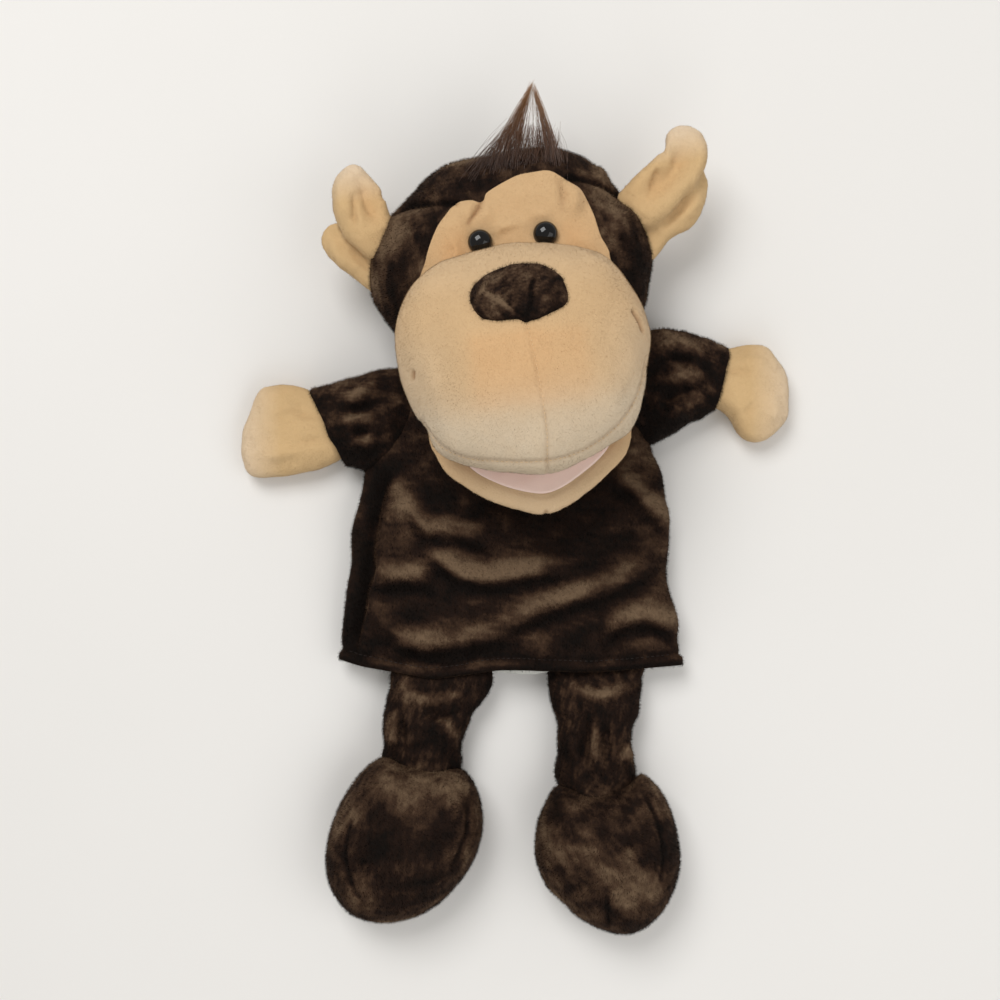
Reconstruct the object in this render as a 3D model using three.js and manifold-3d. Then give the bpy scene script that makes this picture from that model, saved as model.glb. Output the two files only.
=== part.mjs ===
// A plush monkey hand puppet, lying on its back with its arms out.
// Millimetres. +Z points out of its chest, +Y towards its head, +X towards its own left arm.
// Every limb has a flat underside at z = 0, where the puppet rests.
import * as THREE from "three";
import { mergeVertices } from "three/addons/utils/BufferGeometryUtils.js";
import Module from "manifold-3d";

const wasm = await Module();
wasm.setup();

// ---- Driving dimensions ----

const PLUSH = 2.2; // cloth with its pile
const LINING = 0.8;
const BOARD = 1.4;
const SEAM = 0.3; // space left between two pieces that are sewn together
const LOOSE = 1; // space left round a limb's filling
const HOLE_PLAY = 0.4; // room round an eye's stem
const FAR = 300; // further than any piece reaches

const HEM_Y = -80;
const HEM_WIDTH = 172;
const CHEST_HEIGHT = 28;

const NECK = new THREE.Vector3(4, 74, 15); // where the head leans from side to side
const HEAD_LEAN = 7; // degrees, towards its own right

const HEAD = { at: [0, 52, 32], half: [69.5, 50, 34.5], plan: 2.3, side: 3, floor: 0 };
const NECK_HOLE = { halfWidth: 37, start: -5, end: 34, low: 2.6, high: 29.5 }; // for the wrist and knuckles
const MUZZLE_HOLE = { halfWidth: 46, halfLength: 48, low: 36 }; // where the hand turns into the muzzle
const HEAD_STUFFING_START = 36;
const FACE = { middleY: 55, low: 40, high: 80, border: 1.012 }; // border: how much larger its hole is
const MUZZLE = { at: [0, -4.5, 64], half: [61, 53.5, 54], plan: 2.2, side: 2.3, around: 24 };
const NOSE = { at: [0, 22.5, 113], half: [21.5, 14, 7.5], plan: 2.4, side: 2.4, around: 16 };
const MOUTH_Z = 58; // the fold at the back of the mouth
const ROOF_SLOPE = 21; // degrees, rising towards the lips
const JAW_SLOPE = 14;
const JAW_DROP = 3; // the jaw's fold below the roof's
const MOUTH_GAP = 0.4; // between a mouth lining and the skins that it closes
const ROOF_LINING = { halfWidth: 57.5, reach: 54, start: -3 };
const ROOF_BOARD = { halfWidth: 51, reach: 46, start: -4 };
const FINGERS = { halfWidth: 28, depth: 46, low: 3, high: 19 }; // the pocket over the roof of the mouth
const FINGER_ROOM = 1.5; // left round the pocket in the muzzle's filling
const JAW = { halfWidth: 46, straight: 33, tip: 45, round: 5, thick: 14, root: 8, rim: 9 };
const JAW_ROOT_MOUTH = { halfWidth: 34, skin: 3 }; // the opening for the thumb
const JAW_BOARD_Z = -4.1;
const THUMB = { halfWidth: 13, depth: 46, low: -11.5, high: -4.6 };
const EYE = { radius: 5.8, stem: 2, stemLength: 8, height: 6, apart: 15.5, offCentre: 0.8, y: 56, z: 66.9 };
const EYE_WASHER = { radius: 7, thick: 1.6, behind: 4, room: 8 };
const SEAM_Z = 22; // between the head's back panel and the panels above it
const CROWN_Y = 76;
const HAIR = { at: [10, 90, 54], lean: -12, length: 48 };
const EAR_Z = 38;
const HAND_SEAM_Z = 9;
const FOOT_SEAM_Z = 15;

// ---- Materials ----

const cloth = (color) => new THREE.MeshStandardMaterial({ color, roughness: 0.95, metalness: 0 });
const BROWN = cloth(0x3a2a20);
const BEIGE = cloth(0xdcb888);
const PINK = cloth(0xe0c2b8);
const WHITE = cloth(0xe6e4da);
const FILLING = cloth(0xf0eee8);
const LONG_PILE = cloth(0x4a2c1c);
const CARD = cloth(0x9a948a);
const EYE_BLACK = new THREE.MeshStandardMaterial({ color: 0x060606, roughness: 0.08, metalness: 0 });
const WASHER = new THREE.MeshStandardMaterial({ color: 0xe8e8e4, roughness: 0.45, metalness: 0 });

// ---- Shapes ----

const bend = (value, squareness) => Math.sign(value) * Math.abs(value) ** (2 / squareness);

// A rounded closed form, flat where it reaches its floor. An inset makes it smaller all round.
function blob({ at, half, plan = 2.2, side = 2.6, floor = -FAR, around = 20, coarser = 1 }, inset = 0) {
  const geometry = new THREE.SphereGeometry(1, around / coarser, around / coarser / 2);
  geometry.rotateX(Math.PI / 2);
  const points = geometry.attributes.position;
  for (let i = 0; i < points.count; i++) {
    const out = Math.hypot(points.getX(i), points.getY(i));
    const spread = out < 1e-6 ? 0 : out ** (2 / side);
    const x = bend(points.getX(i) / (out || 1), plan) * spread;
    const y = bend(points.getY(i) / (out || 1), plan) * spread;
    const z = at[2] + bend(points.getZ(i), side) * (half[2] - inset);
    points.setXYZ(
      i,
      at[0] + x * (half[0] - inset),
      at[1] + y * (half[1] - inset),
      Math.max(z, floor + inset),
    );
  }
  return solid(geometry);
}

// A closed form along +Y through rings of { at, width, bottom, top, x }.
function ringTube(rings, { squareness = 2.6, inset = 0, lengthen = 0, sides = 16 } = {}) {
  const last = rings.length - 1;
  const geometry = new THREE.CylinderGeometry(1, 1, 1, sides, last);
  const points = geometry.attributes.position;
  for (let i = 0; i < points.count; i++) {
    const row = Math.round((points.getY(i) + 0.5) * last);
    const { at, width, bottom, top, x = 0 } = rings[row];
    const end = row === 0 ? -1 : row === last ? 1 : 0;
    points.setXYZ(
      i,
      x + bend(points.getX(i), squareness) * (width / 2 - inset),
      at + end * lengthen,
      (top + bottom) / 2 + bend(points.getZ(i), squareness) * ((top - bottom) / 2 - inset),
    );
  }
  return solid(geometry);
}

function box(low, high) {
  const size = high.map((value, i) => value - low[i]);
  const middle = high.map((value, i) => (value + low[i]) / 2);
  return solid(new THREE.BoxGeometry(...size).translate(...middle));
}

function disc(radiusX, radiusY, low, high, x = 0, y = 0) {
  const geometry = new THREE.CylinderGeometry(1, 1, high - low, 20).rotateX(Math.PI / 2);
  return solid(geometry.scale(radiusX, radiusY, 1).translate(x, y, (low + high) / 2));
}

function prism(shape, low, high) {
  const options = { depth: high - low, bevelEnabled: false, curveSegments: 8 };
  return solid(new THREE.ExtrudeGeometry(shape, options).translate(0, 0, low));
}

const turnX = (piece, degrees) => piece.rotate([degrees, 0, 0]);
const above = (z) => box([-FAR, -FAR, z + SEAM / 2], [FAR, FAR, FAR]);
const below = (z) => box([-FAR, -FAR, -FAR], [FAR, FAR, z - SEAM / 2]);
const towardsTop = (y) => box([-FAR, y + SEAM / 2, -FAR], [FAR, FAR, FAR]);
const towardsFeet = (y) => box([-FAR, -FAR, -FAR], [FAR, y - SEAM / 2, FAR]);
const leftHalf = box([SEAM / 2, -FAR, -FAR], [FAR, FAR, FAR]);
const rightHalf = box([-FAR, -FAR, -FAR], [-SEAM / 2, FAR, FAR]);

// ---- From three.js to a solid and back ----

function solid(geometry) {
  geometry.deleteAttribute("normal");
  geometry.deleteAttribute("uv");
  const merged = mergeVertices(geometry, 1e-4);
  return new wasm.Manifold(
    new wasm.Mesh({
      numProp: 3,
      vertProperties: merged.attributes.position.array,
      triVerts: new Uint32Array(merged.index.array),
    }),
  );
}

function addNode(group, name, piece, material) {
  const { vertProperties, triVerts } = piece.getMesh();
  const geometry = new THREE.BufferGeometry();
  geometry.setAttribute("position", new THREE.BufferAttribute(vertProperties, 3));
  geometry.setIndex(new THREE.BufferAttribute(triVerts, 1));
  geometry.computeVertexNormals();
  const mesh = new THREE.Mesh(geometry, material);
  mesh.name = name;
  group.add(mesh);
}

function frameAt(parent, x, y, z, leanDegrees = 0) {
  const group = new THREE.Group();
  group.position.set(x, y, z);
  group.rotation.z = THREE.MathUtils.degToRad(leanDegrees);
  parent.add(group);
  return group;
}

// ---- Glove body: front and back panels, each with its lining ----

function addTorso(group) {
  const rings = [
    { at: HEM_Y, width: HEM_WIDTH, top: 26, x: -3 },
    { at: -62, width: 168, top: CHEST_HEIGHT, x: -3 },
    { at: -30, width: 160, top: CHEST_HEIGHT, x: -3 },
    { at: 10, width: 152, top: CHEST_HEIGHT, x: -1 },
    { at: 34, width: 138, top: CHEST_HEIGHT, x: 0 },
    { at: 56, width: 124, top: CHEST_HEIGHT, x: 0 },
    { at: 66, width: 106, top: CHEST_HEIGHT, x: 2 },
    { at: 69, width: 92, top: CHEST_HEIGHT, x: 3 },
  ].map((ring) => ({ ...ring, bottom: 0 }));
  const layer = (inset, thick, hemDrop) => {
    const at = rings.map((ring, i) => ({ ...ring, at: ring.at - (i === 0 ? hemDrop : 0) }));
    const outer = ringTube(at, { squareness: 5, inset, sides: 20 });
    const inner = ringTube(at, { squareness: 5, inset: inset + thick, lengthen: 1, sides: 20 });
    return outer.subtract(inner);
  };
  const sideSeam = CHEST_HEIGHT / 2;
  const plush = layer(0, PLUSH, 0);
  const lining = layer(PLUSH + SEAM, LINING, 1);
  addNode(group, "body_front", plush.intersect(above(sideSeam)), BROWN);
  addNode(group, "body_back", plush.intersect(below(sideSeam)), BROWN);
  addNode(group, "lining_front", lining.intersect(above(sideSeam)), WHITE);
  addNode(group, "lining_back", lining.intersect(below(sideSeam)), WHITE);
}

// ---- Neck: the lining tube that leads the hand from the body into the head ----

function addNeck(group) {
  const half = 9;
  const rings = [-14, 7].map((at) => ({ at, width: 64, bottom: -half, top: half }));
  const hollow = ringTube(rings, { squareness: 5, inset: LINING, lengthen: 1 });
  addNode(group, "neck_lining", ringTube(rings, { squareness: 5 }).subtract(hollow), WHITE);
}

// ---- Head: plush panels round a filling, with room for the knuckles at the neck ----

// What the face panel covers, seen from the front, taken through the head's front.
function faceRegion(grow) {
  const points = [
    [-46, 38], [46, 38], [42.5, 52], [36, 74], [22, 85], [9, 84.5], [-10, 78], [-25, 74], [-36, 60.5],
  ].map(([x, y]) => new THREE.Vector2(x * grow, FACE.middleY + (y - FACE.middleY) * grow));
  return prism(new THREE.Shape(points), FACE.low, FACE.high);
}

const eyePlaces = [
  ["left", EYE.offCentre + EYE.apart],
  ["right", EYE.offCentre - EYE.apart],
];
const eyeHole = (x) => disc(EYE.stem + HOLE_PLAY, EYE.stem + HOLE_PLAY, 50, 80, x, EYE.y);

function addHead(group) {
  const { halfWidth, start, end, low, high } = NECK_HOLE;
  const neckHole = box([-halfWidth, start, low], [halfWidth, end, high]);
  const muzzleHole = disc(MUZZLE_HOLE.halfWidth, MUZZLE_HOLE.halfLength, MUZZLE_HOLE.low, FAR);
  let shell = blob(HEAD).subtract(blob(HEAD, PLUSH)).subtract(neckHole).subtract(muzzleHole);
  for (const [, x] of eyePlaces) {
    shell = shell.subtract(eyeHole(x));
  }
  const upper = shell.intersect(above(SEAM_Z)).subtract(faceRegion(FACE.border));
  const sides = upper.intersect(towardsFeet(CROWN_Y));
  addNode(group, "head_back", shell.intersect(below(SEAM_Z)), BROWN);
  addNode(group, "head_crown", upper.intersect(towardsTop(CROWN_Y)), BROWN);
  addNode(group, "head_side_left", sides.intersect(leftHalf), BROWN);
  addNode(group, "head_side_right", sides.intersect(rightHalf), BROWN);
  addNode(group, "face_panel", shell.intersect(faceRegion(1)), BEIGE);

  let filling = blob({ ...HEAD, coarser: 2 }, PLUSH + SEAM);
  filling = filling.intersect(box([-FAR, HEAD_STUFFING_START, -FAR], [FAR, FAR, FAR]));
  for (const [, x] of eyePlaces) {
    filling = filling.subtract(disc(EYE_WASHER.room, EYE_WASHER.room, 56, 80, x, EYE.y));
  }
  addNode(group, "head_filling", filling, FILLING);
}

function addEyes(group) {
  const { radius, stem, stemLength, height, y, z } = EYE;
  const top = z - EYE_WASHER.behind;
  for (const [side, x] of eyePlaces) {
    const profile = [
      [0, -stemLength], [stem, -stemLength], [stem, 0], [radius * 0.92, 0],
      [radius, 1], [radius * 0.88, 3.2], [radius * 0.6, 4.9], [radius * 0.3, 5.7], [0, height],
    ].map(([r, h]) => new THREE.Vector2(r, h));
    const eye = new THREE.LatheGeometry(profile, 14).rotateX(Math.PI / 2).translate(x, y, z);
    addNode(group, `eye_${side}`, solid(eye), EYE_BLACK);
    const washer = disc(EYE_WASHER.radius, EYE_WASHER.radius, top - EYE_WASHER.thick, top, x, y);
    addNode(group, `eye_washer_${side}`, washer.subtract(eyeHole(x)), WASHER);
  }
}

// ---- Muzzle: two plush halves over a filling, the nose, and the roof of the mouth ----

// The mouth's own frame has its origin on the fold, its y against the lips and its z up from the roof.
const inMouth = (piece, z, slope) => turnX(piece, -slope).translate([0, 0, z]);

// All that lies under the roof of the mouth and under the muzzle's seat on the face.
function underMuzzle(raise) {
  const rise = FAR * Math.tan(THREE.MathUtils.degToRad(ROOF_SLOPE));
  const fold = MOUTH_Z + raise;
  const points = [[-FAR, fold + rise], [0, fold], [FAR, fold], [FAR, -FAR], [-FAR, -FAR]];
  const shape = new THREE.Shape(points.map(([y, z]) => new THREE.Vector2(y, z)));
  const geometry = new THREE.ExtrudeGeometry(shape, { depth: 2 * FAR, bevelEnabled: false });
  return solid(geometry.rotateX(Math.PI / 2).rotateZ(Math.PI / 2).translate(-FAR, 0, 0));
}

// Half an oval with its straight edge towards the neck.
function lipOutline({ halfWidth, reach, start }) {
  const shape = new THREE.Shape();
  shape.moveTo(halfWidth, start);
  shape.absellipse(0, start, halfWidth, reach + start, 0, Math.PI, true);
  return shape;
}

// A box round a finger or thumb pocket, open towards the neck at y = mouth.
function pocketBox({ halfWidth, depth, low, high }, grow, mouth) {
  return box([-halfWidth - grow, -depth - grow, low - grow], [halfWidth + grow, mouth, high + grow]);
}

function addMuzzle(group) {
  const shell = blob(MUZZLE)
    .subtract(blob(MUZZLE, PLUSH))
    .subtract(underMuzzle(0))
    .subtract(blob(HEAD, -SEAM));
  addNode(group, "muzzle_left", shell.intersect(leftHalf), BEIGE);
  addNode(group, "muzzle_right", shell.intersect(rightHalf), BEIGE);

  const sleeve = pocketBox(FINGERS, 0, -2).subtract(pocketBox(FINGERS, -LINING, 5));
  addNode(group, "finger_pocket", inMouth(sleeve, MOUTH_Z, ROOF_SLOPE), WHITE);

  const underPocket = { ...FINGERS, low: -7.5, high: 10.5 };
  const roomEnd = 30;
  const room = pocketBox(FINGERS, FINGER_ROOM, roomEnd).add(pocketBox(underPocket, FINGER_ROOM, roomEnd));
  const wayIn = box([-30, -6, 0], [30, 36, 80]);
  const overBoard = 3;
  const filling = blob({ ...MUZZLE, coarser: 2 }, PLUSH + SEAM)
    .subtract(underMuzzle(overBoard))
    .subtract(blob(HEAD, -SEAM))
    .subtract(inMouth(room, MOUTH_Z, ROOF_SLOPE))
    .subtract(wayIn);
  addNode(group, "muzzle_filling", filling, FILLING);

  const board = prism(lipOutline(ROOF_BOARD), MOUTH_GAP, MOUTH_GAP + BOARD);
  const lining = prism(lipOutline(ROOF_LINING), -MOUTH_GAP - LINING, -MOUTH_GAP);
  addNode(group, "mouth_roof_board", inMouth(board, MOUTH_Z, ROOF_SLOPE), CARD);
  addNode(group, "mouth_roof_lining", inMouth(lining, MOUTH_Z, ROOF_SLOPE), PINK);
}

function addNose(group) {
  const seat = blob(MUZZLE, -SEAM);
  addNode(group, "nose_patch", blob(NOSE).subtract(blob(NOSE, PLUSH)).subtract(seat), BROWN);
  addNode(group, "nose_filling", blob(NOSE, PLUSH + SEAM).subtract(seat), FILLING);
}

// ---- Lower jaw: a padded tongue of plush, open on top for its pink lining ----

// A straight-sided tongue with an oval tip, pointing along -Y.
function jawOutline(inset) {
  const halfWidth = JAW.halfWidth - inset;
  const shape = new THREE.Shape();
  shape.moveTo(halfWidth - 2, -JAW.root - inset);
  shape.lineTo(halfWidth, -JAW.straight);
  shape.absellipse(0, -JAW.straight, halfWidth, JAW.tip - inset, 0, -Math.PI, true);
  shape.lineTo(-halfWidth + 2, -JAW.root - inset);
  return shape;
}

function jawPad(inset) {
  const geometry = new THREE.ExtrudeGeometry(jawOutline(JAW.round), {
    depth: JAW.thick - 2 * JAW.round,
    bevelThickness: JAW.round - inset,
    bevelSize: JAW.round - inset,
    bevelSegments: 2,
    curveSegments: 8,
  });
  return solid(geometry.translate(0, 0, JAW.round - JAW.thick));
}

function addJaw(group) {
  const { halfWidth, skin } = JAW_ROOT_MOUTH;
  const past = 20; // beyond the jaw's edges
  const rootY = -JAW.root - JAW.round;
  const rootMouth = box([-halfWidth, rootY, -JAW.thick + skin], [halfWidth, past, -skin]);
  const top = prism(jawOutline(JAW.rim), -JAW.thick / 2, past);
  const cover = jawPad(0).subtract(jawPad(PLUSH)).subtract(top).subtract(rootMouth);
  addNode(group, "jaw_cover", cover, BEIGE);
  const lining = prism(jawOutline(JAW.rim + 0.5), -MOUTH_GAP - LINING, -MOUTH_GAP);
  addNode(group, "jaw_lining", lining, PINK);
  addNode(group, "jaw_board", prism(jawOutline(JAW.rim + 1), JAW_BOARD_Z, JAW_BOARD_Z + BOARD), CARD);
  const pocket = pocketBox(THUMB, 0, -14).subtract(pocketBox(THUMB, -LINING, 5));
  addNode(group, "thumb_pocket", pocket, WHITE);

  const behindPocket = { ...THUMB, low: -past + SEAM, high: -SEAM };
  const rootRoom = box([-halfWidth - 0.5, rootY - 0.5, -past], [halfWidth + 0.5, past, 0]);
  const filling = jawPad(PLUSH + SEAM)
    .intersect(box([-FAR, -FAR, -FAR], [FAR, FAR, JAW_BOARD_Z - SEAM]))
    .subtract(pocketBox(THUMB, SEAM, past))
    .subtract(pocketBox(behindPocket, SEAM, past))
    .subtract(rootRoom);
  addNode(group, "jaw_filling", filling, FILLING);
}

// ---- Hair tuft, sewn into the crown seam ----

function addHair(group) {
  const rings = [
    { at: -2, width: 30, bottom: -7, top: 6 },
    { at: 14, width: 28, bottom: -6, top: 6 },
    { at: 30, width: 16, bottom: -5, top: 4 },
    { at: HAIR.length, width: 3, bottom: -2.5, top: 0 },
  ];
  const tuft = ringTube(rings, { sides: 12 }).rotate([0, 0, HAIR.lean]).translate(HAIR.at);
  addNode(group, "hair_tuft", tuft.subtract(blob(HEAD, -SEAM)), LONG_PILE);
}

// ---- Ears: two plush panels sewn round the rim, thick in the middle ----

function addEar(group, side, half, x, y) {
  const ear = blob({ at: [x, y, 0], half, side: 2.2, around: 16 });
  addNode(group, `ear_${side}_front`, ear.intersect(above(0)), BEIGE);
  addNode(group, `ear_${side}_back`, ear.intersect(below(0)), BEIGE);
}

// ---- Arms and hands, built along +Y and turned to where they point ----

// A tube of plush, open at both seams, with its filling.
function addStuffedTube(group, names, rings) {
  const hollow = ringTube(rings, { inset: PLUSH, lengthen: 1 });
  addNode(group, names.tube, ringTube(rings).subtract(hollow), BROWN);
  const filling = ringTube(rings, { inset: PLUSH + LOOSE, lengthen: -2 });
  addNode(group, names.filling, filling, FILLING);
}

function addSleeve(group, side, { length, rootWidth, cuffWidth, drift }) {
  const rings = [
    { at: 0, width: rootWidth, bottom: 0, top: 24 },
    { at: length * 0.5, width: (rootWidth + cuffWidth) / 2, bottom: 0, top: 25, x: drift / 2 },
    { at: length, width: cuffWidth, bottom: 0, top: 21, x: drift },
  ];
  addStuffedTube(group, { tube: `sleeve_${side}`, filling: `arm_filling_${side}` }, rings);
}

function addHand(group, side, mitt, thumb) {
  const form = (inset, coarser = 1) =>
    blob({ ...mitt, around: 16, coarser }, inset).add(blob({ ...thumb, around: 12, coarser }, inset));
  const shell = form(0).subtract(form(PLUSH));
  addNode(group, `hand_${side}_back`, shell.intersect(above(HAND_SEAM_Z)), BEIGE);
  addNode(group, `hand_${side}_palm`, shell.intersect(below(HAND_SEAM_Z)), BEIGE);
  addNode(group, `hand_filling_${side}`, form(PLUSH + SEAM, 2), FILLING);
}

// ---- Legs and feet, built along +Y and turned to where they point ----

function addLeg(group, side, { length, topWidth, ankleWidth, drift }) {
  const rings = [
    { at: 0, width: topWidth, bottom: 0, top: 21 },
    { at: length * 0.5, width: (topWidth + ankleWidth) / 2, bottom: 0, top: 23, x: drift / 2 },
    { at: length, width: ankleWidth, bottom: 0, top: 20, x: drift },
  ];
  addStuffedTube(group, { tube: `leg_${side}`, filling: `leg_filling_${side}` }, rings);
}

function addFoot(group, side, foot) {
  const shell = blob(foot).subtract(blob(foot, PLUSH));
  addNode(group, `foot_${side}_upper`, shell.intersect(above(FOOT_SEAM_Z)), BROWN);
  addNode(group, `foot_${side}_sole`, shell.intersect(below(FOOT_SEAM_Z)), BROWN);
  addNode(group, `foot_filling_${side}`, blob({ ...foot, coarser: 2 }, PLUSH + SEAM), FILLING);
}

// ---- Assembly ----

const puppet = new THREE.Group();
addTorso(puppet);

const neck = frameAt(puppet, NECK.x, NECK.y, NECK.z, HEAD_LEAN);
addNeck(neck);

const head = frameAt(neck, 0, 0, -NECK.z);
addHead(head);
addEyes(head);
addMuzzle(head);
addNose(head);
addHair(head);

const jaw = frameAt(head, 0, 0, MOUTH_Z - JAW_DROP);
jaw.rotation.x = THREE.MathUtils.degToRad(-JAW_SLOPE);
addJaw(jaw);

addEar(frameAt(head, -72, 72, EAR_Z), "right", [11.5, 30, 6.5], -8, 0);
addEar(frameAt(head, 71.5, 58, EAR_Z, -39), "left", [15.5, 26, 6.5], 0, 27);

const rightArm = frameAt(puppet, -74, 46, 0, 86);
addSleeve(rightArm, "right", { length: 25, rootWidth: 46, cuffWidth: 42, drift: -5 });
const rightHand = frameAt(rightArm, -5, 26, 0, 9);
addHand(
  rightHand,
  "right",
  { at: [0, 21, 9], half: [22, 20.5, 11], plan: 3, floor: 0 },
  { at: [12, 24, 8], half: [10, 14, 9], floor: 0 },
);

const leftArm = frameAt(puppet, 67.5, 63, 0, -86);
addSleeve(leftArm, "left", { length: 37, rootWidth: 46, cuffWidth: 34, drift: 0 });
const leftHand = frameAt(leftArm, 0, 40, 0, -24);
addHand(
  leftHand,
  "left",
  { at: [2, 18, 9], half: [18, 17, 11], plan: 2.8, floor: 0 },
  { at: [8, 19, 8], half: [10, 12, 9], floor: 0 },
);

const HIP_Y = HEM_Y - 2;
const rightLeg = frameAt(puppet, -38, HIP_Y, 0, 180);
addLeg(rightLeg, "right", { length: 48, topWidth: 50, ankleWidth: 40, drift: 9 });
const rightFoot = frameAt(rightLeg, 9, 48, 0, -12);
addFoot(rightFoot, "right", { at: [0, 40, 21], half: [37.5, 39, 25], plan: 2.2, floor: 0 });

const leftLeg = frameAt(puppet, 41, HIP_Y, 0, 180);
addLeg(leftLeg, "left", { length: 57, topWidth: 47, ankleWidth: 36, drift: 0 });
const leftFoot = frameAt(leftLeg, 0, 57, 0, 12);
addFoot(leftFoot, "left", { at: [0, 37.5, 21], half: [34.5, 36.5, 25], plan: 2.2, floor: 0 });

export default puppet;
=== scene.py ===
"""Looks for the monkey hand puppet. Lengths in the code are millimetres unless a name says otherwise."""

import math
import random

import bmesh
import bpy
import numpy as np
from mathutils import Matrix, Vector
from mathutils.bvhtree import BVHTree


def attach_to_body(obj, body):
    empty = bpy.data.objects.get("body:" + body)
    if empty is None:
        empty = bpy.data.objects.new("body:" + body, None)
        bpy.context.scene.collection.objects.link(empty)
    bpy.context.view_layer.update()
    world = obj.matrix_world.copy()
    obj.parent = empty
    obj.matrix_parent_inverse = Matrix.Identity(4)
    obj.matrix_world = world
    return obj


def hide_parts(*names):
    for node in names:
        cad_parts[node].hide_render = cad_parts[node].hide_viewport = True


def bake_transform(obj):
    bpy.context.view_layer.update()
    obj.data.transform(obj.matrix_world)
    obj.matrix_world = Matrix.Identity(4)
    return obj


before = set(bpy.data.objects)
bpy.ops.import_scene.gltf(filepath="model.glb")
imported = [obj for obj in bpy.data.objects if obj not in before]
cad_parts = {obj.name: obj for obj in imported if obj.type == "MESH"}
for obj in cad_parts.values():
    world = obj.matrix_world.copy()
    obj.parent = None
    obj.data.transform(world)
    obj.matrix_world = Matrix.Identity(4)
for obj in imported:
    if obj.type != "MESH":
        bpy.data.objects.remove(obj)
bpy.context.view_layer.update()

MM = 0.001
PLUSH_THICK = 1.8
LINING_THICK = 0.5
MOUTH_CLOTH_THICK = 0.6
PUFF_FRAMES = 20
OFF_FLOOR = -50  # lower than anything: the piece rests on nothing
HAND_SEAM_Z = 9.5
FLOOR_HALF = 2500
CAMERA_AT = (-0.00775, 0.0044, 0.8)  # straight above the puppet, in metres
CAMERA_LENS, CAMERA_SENSOR = 55.8, 36
LIGHTS = (  # name, place, size in metres, watts
    ("key", (-0.5, 0.9, 1.5), 0.9, 18),
    ("fill", (0.9, -0.3, 1.2), 1.1, 5),
    ("back", (0.1, -1.1, 0.9), 0.8, 3),
)
NECK = (4.0, 74.0)  # where the head leans, in the row frame
LEAN = math.radians(7)
ROOF_FOLD_Z = 58.0  # the back of the mouth, above the head's back
ROOF_RISE = math.tan(math.radians(21))
JAW_FOLD_Z = 55.0
JAW_RISE = math.tan(math.radians(14))

# ---- Points and curves ----


def head_point(points):
    """From the head's own frame, with its origin at the neck, to the row frame."""
    p = np.array(points, float)
    moved = p.copy()
    moved[..., 0] = NECK[0] + math.cos(LEAN) * p[..., 0] - math.sin(LEAN) * p[..., 1]
    moved[..., 1] = NECK[1] + math.sin(LEAN) * p[..., 0] + math.cos(LEAN) * p[..., 1]
    return moved


def head_frame(points):
    """From the row frame back to the head's own frame."""
    p = np.array(points, float)
    x, y = p[..., 0] - NECK[0], p[..., 1] - NECK[1]
    back = p.copy()
    back[..., 0] = math.cos(LEAN) * x + math.sin(LEAN) * y
    back[..., 1] = -math.sin(LEAN) * x + math.cos(LEAN) * y
    return back


def catmull(p0, p1, p2, p3, f):
    return 0.5 * (
        2 * p1
        + (p2 - p0) * f
        + (2 * p0 - 5 * p1 + 4 * p2 - p3) * f * f
        + (3 * p1 - p0 - 3 * p2 + p3) * f**3
    )


def even(curve, count, closed):
    """The same curve with its points evenly spaced along it."""
    if closed:
        curve = np.vstack([curve, curve[:1]])
    steps = np.linalg.norm(np.diff(curve, axis=0), axis=1)
    run = np.concatenate([[0], np.cumsum(steps)])
    wanted = np.linspace(0, run[-1], count + 1)[:-1] if closed else np.linspace(0, run[-1], count)
    return np.stack([np.interp(wanted, run, curve[:, k]) for k in range(curve.shape[1])], 1)


def smooth_loop(points, count):
    p = np.array(points, float)
    n = len(p)
    t = np.arange(n * 16) / 16
    i = t.astype(int)
    f = (t - i)[:, None]
    return even(catmull(p[(i - 1) % n], p[i % n], p[(i + 1) % n], p[(i + 2) % n], f), count, True)


def smooth_line(points, count):
    p = np.array(points, float)
    n = len(p)
    t = np.linspace(0, n - 1, n * 16)
    i = np.minimum(t.astype(int), n - 2)
    f = (t - i)[:, None]
    ends = [np.clip(i + k, 0, n - 1) for k in (-1, 0, 1, 2)]
    return even(catmull(*(p[e] for e in ends), f), count, False)


def bend(value, squareness):
    return np.sign(value) * np.abs(value) ** (2 / squareness)


# ---- Meshes ----


def new_object(name, verts, faces):
    mesh = bpy.data.meshes.new(name)
    verts = np.asarray(verts, np.float32) * MM
    sizes = np.array([len(f) for f in faces], np.int32)
    mesh.vertices.add(len(verts))
    mesh.vertices.foreach_set("co", verts.ravel())
    mesh.loops.add(int(sizes.sum()))
    mesh.loops.foreach_set("vertex_index", np.concatenate([np.asarray(f, np.int32) for f in faces]))
    mesh.polygons.add(len(sizes))
    mesh.polygons.foreach_set("loop_start", np.concatenate([[0], np.cumsum(sizes)[:-1]]).astype(np.int32))
    mesh.update(calc_edges=True)
    mesh.validate()
    mesh.shade_smooth()
    obj = bpy.data.objects.new(name, mesh)
    bpy.context.scene.collection.objects.link(obj)
    return obj


def loft(name, rings, close_start=True, close_end=True):
    """A skin over rings of points, each ring an N by 3 array."""
    around = len(rings[0])
    verts = np.vstack(rings)
    faces = []
    for r in range(len(rings) - 1):
        for k in range(around):
            a, b = r * around + k, r * around + (k + 1) % around
            faces.append((a, b, b + around, a + around))
    extra = []
    for closed, ring, first, flip in (
        (close_start, rings[0], 0, True),
        (close_end, rings[-1], (len(rings) - 1) * around, False),
    ):
        if not closed:
            continue
        middle = len(verts) + len(extra)
        extra.append(np.mean(ring, axis=0))
        for k in range(around):
            a, b = first + k, first + (k + 1) % around
            faces.append((b, a, middle) if flip else (a, b, middle))
    if extra:
        verts = np.vstack([verts, np.array(extra)])
    obj = new_object(name, verts, faces)
    face_out(obj)
    return obj


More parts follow.
